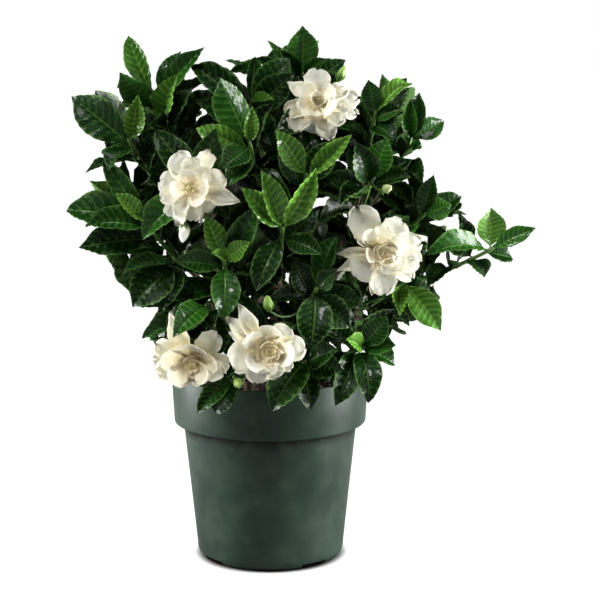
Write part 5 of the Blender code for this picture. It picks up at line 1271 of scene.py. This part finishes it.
def facing(centre, axis):
    """Places a piece made round +Z at centre with +Z along axis, +X kept to the right."""
    axis = axis.normalized()
    up = axis.cross(Vector((1, 0, 0)))
    up = up.normalized() if up.length > 0.1 else Vector((0, 1, 0))
    return placed_by(up.cross(axis), up, axis, centre)


KNOT_RISE, KNOT_REACH = 0.35, 1.6       # how much thicker a stem is at a knot, and how far that runs


def fine_radii(path, first, last, knots):
    """Radii along a path, a little thicker where leaves or branches leave it."""
    radii = radii_along(path, first, last)
    for i, p in enumerate(path):
        near = min(((p - knot).length for knot in knots), default=math.inf)
        radii[i] += KNOT_RISE * math.exp(-(near / KNOT_REACH) ** 2)
    return radii


TIP_GROWTH = (2.5, 0.3)         # how far a leafy shoot's tip runs on, and its radius there


def make_shoots(tree, found, blades):
    """Each green shoot with its leaves and the stalks of its buds."""
    leaves, numbers = shape_collection("leaf", FORMS, blade_mesh)
    inputs = {"Shapes": leaves, "Stem Sides": 8, "Shape Material": LEAF_FINISH, "Stem Material": SHOOT_FINISH}
    for name, (_, _, green) in found.items():
        mine = [blade[1:] for blade in blades if blade[0] == name]
        path = smooth_path(green, 8)
        radii = fine_radii(path, *SHOOT_RADIUS, [matrix.translation for matrix, _, _, _ in mine])
        if ALL_SHOOTS[name][2] not in FLOWERS:
            path.append(path[-1] + (path[-1] - path[-2]).normalized() * TIP_GROWTH[0])
            radii.append(TIP_GROWTH[1])
        chains = [(path, radii)]
        for key, bud in BUDS.items():
            if bud[0] == name:
                stalk = smooth_path(bud_path(key, green), 3)
                chains.append((stalk, radii_along(stalk, *BUD_STALK)))
        joints = [(matrix, numbers[form, hand], tone) for matrix, form, hand, tone in mine]
        ready(grown(f"shoot_{name}_leaves", tree, chains, joints, inputs), "shoot_" + name)


def make_woody_stems(tree, found):
    """Each woody stem with the woody pieces of its branches."""
    inputs = {"Stem Sides": 12, "Stem Material": BARK_FINISH, "Relief": 1.6 * MM, "Relief Scale": 160.0}
    for stem, points in STEMS.items():
        arms = [smooth_path(woody, 5) for owner, woody, _ in found.values() if owner == stem]
        path = smooth_path(points, 14)
        chains = [(path, fine_radii(path, *STEM_RADIUS, [arm[0] for arm in arms]))]
        chains += [(arm, radii_along(arm, 1.15 * BRANCH_RADIUS, SHOOT_RADIUS[0])) for arm in arms]
        node = "woody_stem_" + stem
        ready(grown(node + "_bark", tree, chains, [], inputs), node)


# ---------------------------------------------------------------- flowers
# Petals from the back of a flower to its front: form, direction in degrees (0 is the right,
# 90 is up), how far the tip is from the middle, width, tilt from the flower's axis in
# degrees, layer (0 is the back), and how creamy it is.
PETAL_ROWS_OF = {
    "upper_left": (
        ("point", 345, 36, 16, 86, 0, 0.1), ("round", 317, 22, 15, 88, 0, 0.3), ("point", 284, 26, 10, 88, 0, 0.3),
        ("roll", 64, 29, 14, 82, 0, 0.35), ("round", 21, 25, 18, 98, 0, 0.35), ("round", 115, 29, 21, 82, 1, 0.0),
        ("round", 168, 25, 20, 84, 1, 0.05), ("roll", 235, 29, 20, 80, 1, 0.05), ("round", 87, 23, 18, 78, 2, 0.0),
        ("round", 198, 24, 15, 78, 2, 0.1), ("round", 273, 24, 15, 80, 1, 0.1), ("round", 241, 23, 13, 74, 2, 0.0),
        ("bowl", 0, 16, 15, 58, 3, 0.15), ("bowl", 308, 16, 14, 60, 3, 0.2), ("bowl", 95, 14, 16, 56, 3, 0.1),
        ("bowl", 185, 14, 14, 60, 3, 0.15), ("round", 45, 19, 15, 66, 2, 0.1)),
    "top": (
        ("point", 137, 29, 15, 86, 0, 0.15), ("round", 192, 25, 15, 86, 0, 0.45),
        ("round", 222, 27, 16, 86, 0, 0.3), ("round", 292, 28, 16, 86, 0, 0.2), ("frill", 350, 30, 13, 84, 0, 0.2),
        ("round", 89, 28, 21, 82, 1, 0.0), ("frill", 10, 32, 20, 80, 1, 0.0), ("frill", 34, 26, 15, 78, 1, 0.1),
        ("round", 335, 25, 20, 76, 1, 0.0), ("roll", 268, 21, 22, 76, 1, 0.0), ("round", 132, 20, 17, 74, 2, 0.0),
        ("bowl", 200, 17, 17, 64, 2, 0.1), ("bowl", 330, 14, 18, 58, 3, 0.1), ("bowl", 55, 15, 17, 58, 3, 0.05),
        ("bowl", 250, 13, 14, 56, 3, 0.15), ("furl", 120, 8, 11, 34, 4, 0.2), ("furl", 20, 7, 10, 30, 4, 0.25)),
    "right": (
        ("point", 184, 29, 10, 88, 0, 0.35), ("point", 207, 32, 11, 88, 0, 0.3), ("point", 267, 34, 12, 90, 0, 0.7),
        ("lobed", 114, 33, 25, 84, 0, 0.1), ("round", 323, 35, 15, 86, 0, 0.3), ("frill", 10, 34, 21, 82, 0, 0.05),
        ("round", 48, 30, 23, 82, 0, 0.1), ("round", 345, 34, 22, 80, 1, 0.0), ("round", 280, 33, 22, 80, 1, 0.0),
        ("round", 227, 26, 24, 76, 1, 0.0), ("fold", 181, 22, 10, 74, 1, 0.15), ("round", 70, 20, 18, 74, 2, 0.05),
        ("fold", 154, 20, 9, 66, 2, 0.1), ("bowl", 129, 20, 14, 62, 2, 0.05), ("round", 310, 20, 18, 68, 2, 0.0),
        ("bowl", 200, 12, 13, 54, 3, 0.1), ("bowl", 20, 20, 16, 58, 2, 0.05)),
    "lower_left": (
        ("point", 118, 38, 17, 86, 0, 0.35), ("round", 47, 28, 19, 84, 0, 0.15),
        ("round", 180, 31, 20, 82, 0, 0.35), ("round", 356, 28, 18, 82, 0, 0.35),
        ("frill", 158, 29, 19, 78, 1, 0.35), ("frill", 200, 28, 19, 74, 1, 0.25),
        ("bowl", 232, 20, 20, 66, 1, 0.25), ("bowl", 268, 16, 20, 62, 1, 0.15), ("bowl", 305, 18, 20, 66, 1, 0.2),
        ("frill", 338, 25, 18, 74, 1, 0.3), ("bowl", 165, 22, 19, 62, 2, 0.35), ("bowl", 12, 22, 18, 62, 2, 0.35),
        ("bowl", 95, 18, 22, 60, 2, 0.4), ("bowl", 55, 18, 18, 58, 2, 0.3), ("bowl", 215, 17, 18, 52, 3, 0.3),
        ("bowl", 335, 16, 17, 50, 3, 0.3)),
    "lower_centre": (
        ("point", 122, 39, 15, 84, 0, 0.1), ("point", 140, 38, 15, 86, 0, 0.15), ("round", 3, 30, 21, 84, 0, 0.1),
        ("round", 42, 24, 20, 84, 0, 0.1), ("point", 155, 30, 13, 82, 0, 0.1), ("round", 215, 28, 14, 82, 0, 0.2),
        ("round", 293, 24, 17, 84, 0, 0.25), ("round", 320, 25, 14, 84, 0, 0.2), ("round", 254, 27, 19, 82, 0, 0.1),
        ("bowl", 186, 27, 24, 70, 1, 0.0), ("bowl", 350, 22, 20, 64, 1, 0.1), ("bowl", 75, 20, 20, 64, 1, 0.05),
        ("bowl", 135, 18, 18, 58, 2, 0.05), ("roll", 270, 19, 19, 70, 2, 0.0), ("bowl", 225, 17, 18, 56, 2, 0.0)),
}
# The furled heart of a flower: middle to the right and up, outer radius, petals and tone. The
# flower that has none is wide open and shows its stamens.
HEARTS = {
    "top": ((-1, 1), 6, 6, 0.25),
    "right": ((5, -2), 12, 12, 0.40),
    "lower_left": ((2, -1), 12, 11, 0.60),
    "lower_centre": ((4, -1), 15, 13, 0.55),
}
# How far a layer's petals stand from the axis, and how high they start.
LAYER_FOOT = (3.0, 3.4, 3.6, 3.4, 2.6)
LAYER_HEIGHT = (-5.0, -3.0, -0.5, 2.0, 4.0)
SPIRAL = math.radians(137.5)    # from one furled petal to the next
HEART_HEIGHT = 3.6              # how high the innermost furled petals start
HEART_REACH = (2.3, 3.2)        # from foot to tip of the innermost, and how much more for the outermost
HEART_WIDTH = (5, 1.15)         # width of the innermost, and what the outermost adds to it in heart radii
HEART_TILT = (24, 28)           # tilt of the innermost in degrees, and how much more the outermost has
# The core that the petals stand on: radius and place along the flower's axis.
CORE = ((2.8, -11.7), (3.2, -8), (4.2, -5), (5.6, -2), (6.0, 1), (4.2, 3), (1.5, 4.2))
# Anthers, stigma, calyx and lobes: radii, and outlines as (distance, place) from the axis.
ANTHER = ((0.8, 3), (2.0, 7), (3.9, 9.2), (5.8, 9.6))
ANTHER_RADII = (0.45, 0.6, 0.75, 0.85, 0.9, 0.9, 0.85, 0.75, 0.6, 0.3)
STIGMA = ((0.9, 2), (0.9, 6), (1.3, 8), (1.7, 10), (1.2, 12), (0.4, 12.8))
CALYX = ((1.4, -26.5), (1.5, -23), (2.6, -21.5), (3.6, -20), (4.4, -17.5), (4.7, -15), (4.4, -12), (3.2, -11.6))
LOBE = ((4.0, -16), (4.8, -11), (6.6, -6), (9.6, -2.5))
LOBE_RADII = (0.9, 1.0, 1.0, 1.0, 0.95, 0.9, 0.8, 0.65, 0.45, 0.2)


def petal_matrix(face, foot, height, turn, reach, width, tilt, form, hand):
    """Places a unit petal in a flower whose frame is `face`."""
    slant = math.radians(tilt)
    axis = Vector((0, 0, 1))
    radial = ray(turn)
    along = axis * math.cos(slant) + radial * math.sin(slant)
    inner = axis * math.sin(slant) - radial * math.cos(slant)
    end = petal_point(form, hand, 1.0, 0.0)
    spread = end.y * math.sin(slant) - end.z * math.cos(slant)
    length = (reach - foot) / max(0.45, spread)
    aside = along.cross(inner) * width / (2 * PETAL_HALF)
    return face @ placed_by(aside, along * length, inner * length, radial * foot + axis * height)


def on_axis(face, outline):
    """A chain along a flower's axis from (radius, place) pairs."""
    return [face @ Vector((0, 0, z)) for _, z in outline], [radius for radius, _ in outline]


def six_round(face, first, outline, radii, size=1.0):
    """Six chains that stand round a piece's axis, the first turned by `first`."""
    chains = []
    for i in range(6):
        radial = ray(math.tau * i / 6 + first) * size
        path = [face @ (radial * r + Vector((0, 0, z * size))) for r, z in outline]
        chains.append((smooth_path(path, 3), [size * radius for radius in radii]))
    return chains


def make_flowers(tree):
    """Each flower with its calyx."""
    petals, numbers = shape_collection("petal", PETALS, petal_mesh)
    inputs = {"Shapes": petals, "Stem Sides": 16, "Shape Material": PETAL_FINISH, "Stem Material": PETAL_FINISH}
    rng = random.Random(SEED)
    for key, (centre, _, _) in FLOWERS.items():
        face = facing(Vector(centre), flower_axis(key))
        joints = []
        for form, azimuth, reach, width, tilt, layer, tone in PETAL_ROWS_OF[key]:
            hand = rng.choice(HANDS)
            matrix = petal_matrix(face, LAYER_FOOT[layer], LAYER_HEIGHT[layer], math.radians(azimuth), reach,
                                  width, tilt, form, hand)
            joints.append((matrix, numbers[form, hand], tone))
        (right, up), radius, count, tone = HEARTS.get(key, ((0, 0), 0, 0, 0))
        heart = face @ Matrix.Translation((right, up, 0))
        for i in range(count):
            share = (i + 0.6) / count
            foot = radius * 0.55 * share ** 0.8
            hand = HANDS[i % 3]
            matrix = petal_matrix(heart, foot, HEART_HEIGHT * (1 - share), SPIRAL * i + 0.4,
                                  foot + HEART_REACH[0] + HEART_REACH[1] * share,
                                  HEART_WIDTH[0] + HEART_WIDTH[1] * radius * share,
                                  HEART_TILT[0] + HEART_TILT[1] * share, "furl", hand)
            joints.append((matrix, numbers["furl", hand], tone))
        parts = [grown(f"flower_{key}_petals", tree, [on_axis(face, CORE)], joints, inputs)]
        if key not in HEARTS:
            anthers = six_round(face, math.tau * 0.05, ANTHER, ANTHER_RADII)
            parts.append(grown("stamens", tree, anthers + [on_axis(face, STIGMA)], [],
                               {"Stem Sides": 10, "Stem Material": STAMEN_FINISH}))
        ready(joined(parts), "flower_" + key)
        lobes = six_round(face, 0.3, LOBE, LOBE_RADII)
        calyx = grown(f"calyx_{key}_lobes", tree, [on_axis(face, CALYX)] + lobes, [],
                      {"Stem Sides": 12, "Stem Material": CALYX_FINISH})
        ready(calyx, "calyx_" + key)


# A bud's outline from its tip to its foot and its calyx lobes, in bud lengths.
BUD_OUTLINE = ((0.0, 0.5), (0.012, 0.495), (0.05, 0.455), (0.09, 0.40), (0.13, 0.33), (0.19, 0.20),
               (0.235, 0.08), (0.25, -0.05), (0.235, -0.18), (0.19, -0.29), (0.14, -0.38), (0.11, -0.44),
               (0.09, -0.48), (0.0, -0.48))
BUD_LOBE = ((0.07, -0.48), (0.17, -0.36), (0.26, -0.22), (0.30, -0.08))
BUD_LOBE_RADII = (0.05, 0.05, 0.05, 0.05, 0.0475, 0.0425, 0.035, 0.0275, 0.0175, 0.0075)
BUD_SIDES = 40
BUD_TWIST = 2.2                 # radians that a bud's ridges turn over its length
BUD_RIDGES = 5
BUD_GROOVE, BUD_RIDGE = 0.90, 0.22      # radius in a groove, and what a ridge adds, as shares of the outline's
BUD_FADE = 0.35                 # how much whiter its tip is than its foot


def make_buds(tree):
    """Pointed buds with ridges that wind round them, in a small calyx."""
    def ripple(share, turn, radius, height):
        ridge = 1 - abs(math.sin(0.5 * BUD_RIDGES * (turn - BUD_TWIST * share)))
        return radius * (BUD_GROOVE + BUD_RIDGE * ridge ** 1.5), height

    for key, (_, _, centre, length, way, tone) in BUDS.items():
        name = f"bud_{key}"
        mesh = turned_mesh(name, [(r * length, h * length) for r, h in BUD_OUTLINE], BUD_SIDES, ripple)
        face = facing(Vector(centre), Vector(way))
        to_metres = Matrix.Scale(MM, 4)
        mesh.transform(to_metres @ face @ to_metres.inverted())
        (_, top), *rings, (_, foot) = BUD_OUTLINE
        heights = [top] + [h for _, h in rings for _ in range(BUD_SIDES)] + [foot]
        tones = [min(1.0, max(0.0, tone + BUD_FADE * h)) for h in heights]
        mesh.attributes.new("tone", "FLOAT", "POINT").data.foreach_set("value", tones)
        pod = shown(name + "_pod", mesh, BUD_FINISH)
        cup = grown("cup", tree, six_round(face, 0.0, BUD_LOBE, BUD_LOBE_RADII, length), [],
                    {"Stem Sides": 8, "Stem Material": CALYX_FINISH})
        ready(joined([pod, cup]), name)


# ---------------------------------------------------------------- pot and soil
POT_SIDES, SOIL_SIDES = 144, 96
CENTRE_TOP = 2.0                # upper side of the floor's middle, which stands on the ground
POT_CENTRE_RADIUS = 26.0        # of that middle
POT_FLOOR, POT_FLOOR_UNDER = 6.0, 4.0       # upper and under side of the channel's roof
FOOT_RING_INNER = 48.0
CENTRE_SLOPE = 3.5              # how far outwards the floor slopes up from that middle
BAND_EDGE = 1.6                 # radius of the rim band's lower edge
DRAIN_COUNT = 4
DRAIN_TURN = 38.0               # degrees from +X to the first notch
DRAIN_NOTCH = (20.0, 24.0, 9.2)         # its cutter outwards, across and up, with half of it under the ground
NOTCH_AT = 56.0                 # from the axis to a notch's middle
DRAIN_HOLE = (38.0, 5.0)        # from the axis to a hole, and its radius


def arc(centre, radius, first, last, pieces):
    """Points of an arc in the (radius, height) plane, angles in degrees from +radius."""
    angles = [math.radians(first + (last - first) * i / pieces) for i in range(pieces + 1)]
    return [(centre[0] + radius * math.cos(a), centre[1] + radius * math.sin(a)) for a in angles]


def inner_wall(clear):
    """The wall's inside from its foot to the soil's edge, moved inwards by `clear`."""
    step = POT_WALL + clear
    foot = POT_FOOT_RADIUS - step
    return [(foot - 5.0, POT_FLOOR + clear), (foot, POT_FLOOR + 6.0), (POT_NECK_RADIUS - step, POT_BAND_FROM - 2.5),
            (POT_BAND_RADIUS - step - 0.6, POT_BAND_FROM + 2.0 + clear)]


def make_pot():
    """A thin wall with a deep rim band, and a floor that stands on its centre and a ring."""
    lip = POT_WALL / 2
    profile = [(0.0, CENTRE_TOP), (POT_CENTRE_RADIUS, CENTRE_TOP), (POT_CENTRE_RADIUS + CENTRE_SLOPE, POT_FLOOR)]
    profile += inner_wall(0.0)
    profile += arc((POT_RIM_RADIUS - lip, POT_HEIGHT - lip), lip, 180, 0, 8)
    profile += arc((POT_BAND_RADIUS - BAND_EDGE, POT_BAND_FROM + BAND_EDGE), BAND_EDGE, 0, -90, 5)
    profile += [(POT_NECK_RADIUS + 1.4, POT_BAND_FROM - 0.4), (POT_NECK_RADIUS + 0.5, POT_BAND_FROM - 1.4),
                (POT_NECK_RADIUS, POT_BAND_FROM - 5.0)]
    profile += arc((POT_FOOT_RADIUS - POT_FOOT_ROUND, POT_FOOT_ROUND), POT_FOOT_ROUND, 8, -90, 9)
    profile += [(FOOT_RING_INNER, 0.0), (FOOT_RING_INNER - 1.5, POT_FLOOR_UNDER),
                (POT_CENTRE_RADIUS + 2.0, POT_FLOOR_UNDER), (POT_CENTRE_RADIUS, 0.0), (0.0, 0.0)]
    pot = shown("nursery_pot_shell", turned_mesh("nursery_pot_shell", profile, POT_SIDES), POT_FINISH)
    cutters = []
    for i in range(DRAIN_COUNT):
        turn = math.radians(DRAIN_TURN) + math.tau * i / DRAIN_COUNT
        bpy.ops.mesh.primitive_cube_add(size=1, location=ray(turn) * NOTCH_AT * MM, rotation=(0, 0, turn),
                                        scale=Vector(DRAIN_NOTCH) * MM)
        cutters.append(bpy.context.object)
        bpy.ops.mesh.primitive_cylinder_add(vertices=32, radius=DRAIN_HOLE[1] * MM, depth=20 * MM,
                                            location=ray(turn) * DRAIN_HOLE[0] * MM)
        cutters.append(bpy.context.object)
    for cutter in cutters:
        cut = pot.modifiers.new("drain", "BOOLEAN")
        cut.operation, cut.object, cut.solver = "DIFFERENCE", cutter, "EXACT"
    settle(pot)
    for cutter in cutters:
        bpy.data.objects.remove(cutter, do_unlink=True)
    pot.data.shade_smooth()
    pot.data.set_sharp_from_angle(angle=math.radians(35))
    ready(pot, "nursery_pot")


def lump_collection(name, count, flatness, rng):
    """Rough little lumps of one unit across."""
    made = bpy.data.collections.new(name)
    for i in range(count):
        shape = bmesh.new()
        bmesh.ops.create_icosphere(shape, subdivisions=1, radius=0.5)
        for vertex in shape.verts:
            vertex.co *= rng.uniform(0.75, 1.2)
            vertex.co.z *= flatness
        mesh = bpy.data.meshes.new(f"{name}_{i}")
        shape.to_mesh(mesh)
        shape.free()
        made.objects.link(bpy.data.objects.new(f"{name}_{i}", mesh))
    return made


# Lumps on the soil: how flat they are, how many to a square metre, their smallest and largest
# size, the seed of their spread, and what they are made of.
LUMPS = {
    "bark_crumb": (0.55, 62000.0, 1.6, 4.6, 3, SOIL_FINISH),
    "perlite": (0.9, 5500.0, 1.2, 2.8, 5, PERLITE_FINISH),
}


def make_soil():
    """The cake of potting soil, rough on top, with crumbs of bark and perlite."""
    wall = inner_wall(GAP)
    edge = wall[-1][0] + 0.4
    crown = edge - 2.0
    profile = [(0.0, SOIL_TOP + SOIL_CROWN)]
    profile += [(r, SOIL_TOP + SOIL_CROWN * math.cos(math.pi / 2 * r / crown))
                for r in (crown * i / 22 for i in range(1, 23))]
    profile += [(edge, SOIL_TOP - 2.0)] + wall[::-1]
    low = CENTRE_TOP + GAP
    profile += [(POT_CENTRE_RADIUS + CENTRE_SLOPE - GAP, POT_FLOOR + GAP), (POT_CENTRE_RADIUS - GAP, low), (0.0, low)]

    def ripple(share, turn, radius, height):
        if height < SOIL_TOP - 1.0:
            return radius, height
        spot = ray(turn) * radius
        return radius, height + 1.6 * noise.noise(spot * 0.09) + 0.9 * noise.noise(spot * 0.31)

    soil = shown("potting_soil_cake", turned_mesh("potting_soil_cake", profile, SOIL_SIDES, ripple), SOIL_FINISH)
    rng = random.Random(SEED)
    tree = scatter_tree()
    for name, (flatness, density, smallest, largest, seed, finish) in LUMPS.items():
        add_tree(soil, tree, {
            "Lumps": lump_collection(name, 6, flatness, rng), "Density": density, "Smallest": smallest * MM,
            "Largest": largest * MM, "Seed": seed, "Material": finish})
        settle(soil)
    ready(soil, "potting_soil")


# ---------------------------------------------------------------- floor, light and camera
ROOM_LIGHT = 0.05
# Name, kind, place, what it points at, power, and a sun's angle or a panel's sides.
LAMPS = (
    ("key_light", "SUN", (-1.5, -1.3, 2.4), (0, 0, 0.2), 2.25, 15),
    ("top_light", "SUN", (0.4, -0.6, 2.6), (0, 0, 0.2), 1.25, 22),
    ("fill_light", "SUN", (2.2, -0.9, 1.0), (0, 0, 0.2), 0.4, 50),
    ("strip_left", "AREA", (-0.9, 0.05, 0.2), (0, 0, 0.1), 22.0, (0.4, 0.6)),
    ("strip_right", "AREA", (0.9, -0.05, 0.2), (0, 0, 0.1), 29.0, (0.4, 0.6)),
)
CAMERA_PLACE, CAMERA_AIM = (0.025, -1.300, 0.415), (0.025, 0, 0.215)
CAMERA_LENS, CAMERA_SENSOR = 95.1, 36.0


def stood(name, data, place, aim):
    """A lamp or camera that stands at a place and looks at another."""
    made = bpy.data.objects.new(name, data)
    made.location = place
    made.rotation_euler = (Vector(aim) - Vector(place)).to_track_quat("-Z", "Y").to_euler()
    bpy.context.scene.collection.objects.link(made)
    return made


def make_stage():
    """A pale floor that runs out of sight under a white sky, with soft light."""
    bpy.ops.mesh.primitive_plane_add(size=60)
    floor = bpy.context.object
    floor.name = "floor"
    floor.data.materials.append(FLOOR_FINISH)

    world = bpy.data.worlds.new("white_room")
    bpy.context.scene.world = world
    world.use_nodes = True
    tree = world.node_tree
    tree.nodes.clear()
    straight = put(tree, "ShaderNodeLightPath")["Is Camera Ray"]
    strength = put(tree, "ShaderNodeMapRange", {"Value": straight, "To Min": ROOM_LIGHT, "To Max": 1.0})
    sky = put(tree, "ShaderNodeBackground", {"Color": (1.0, 1.0, 1.0, 1.0), "Strength": strength[0]})
    put(tree, "ShaderNodeOutputWorld", {"Surface": sky[0]})

    for name, kind, place, aim, power, size in LAMPS:
        light = bpy.data.lights.new(name, kind)
        light.energy = power
        if kind == "SUN":
            light.angle = math.radians(size)
        else:
            light.shape = "RECTANGLE"
            light.size, light.size_y = size
        stood(name, light, place, aim)


def make_camera():
    """Looks at the show side from straight ahead and a little above."""
    lens = bpy.data.cameras.new("camera")
    lens.lens, lens.sensor_width = CAMERA_LENS, CAMERA_SENSOR
    bpy.context.scene.camera = stood("camera", lens, CAMERA_PLACE, CAMERA_AIM)


found, blades = grow()
growing = growing_tree()
make_shoots(growing, found, blades)
make_woody_stems(growing, found)
make_flowers(growing)
make_buds(growing)
make_pot()
make_soil()
make_stage()
make_camera()
bpy.context.scene.view_settings.view_transform = "Standard"
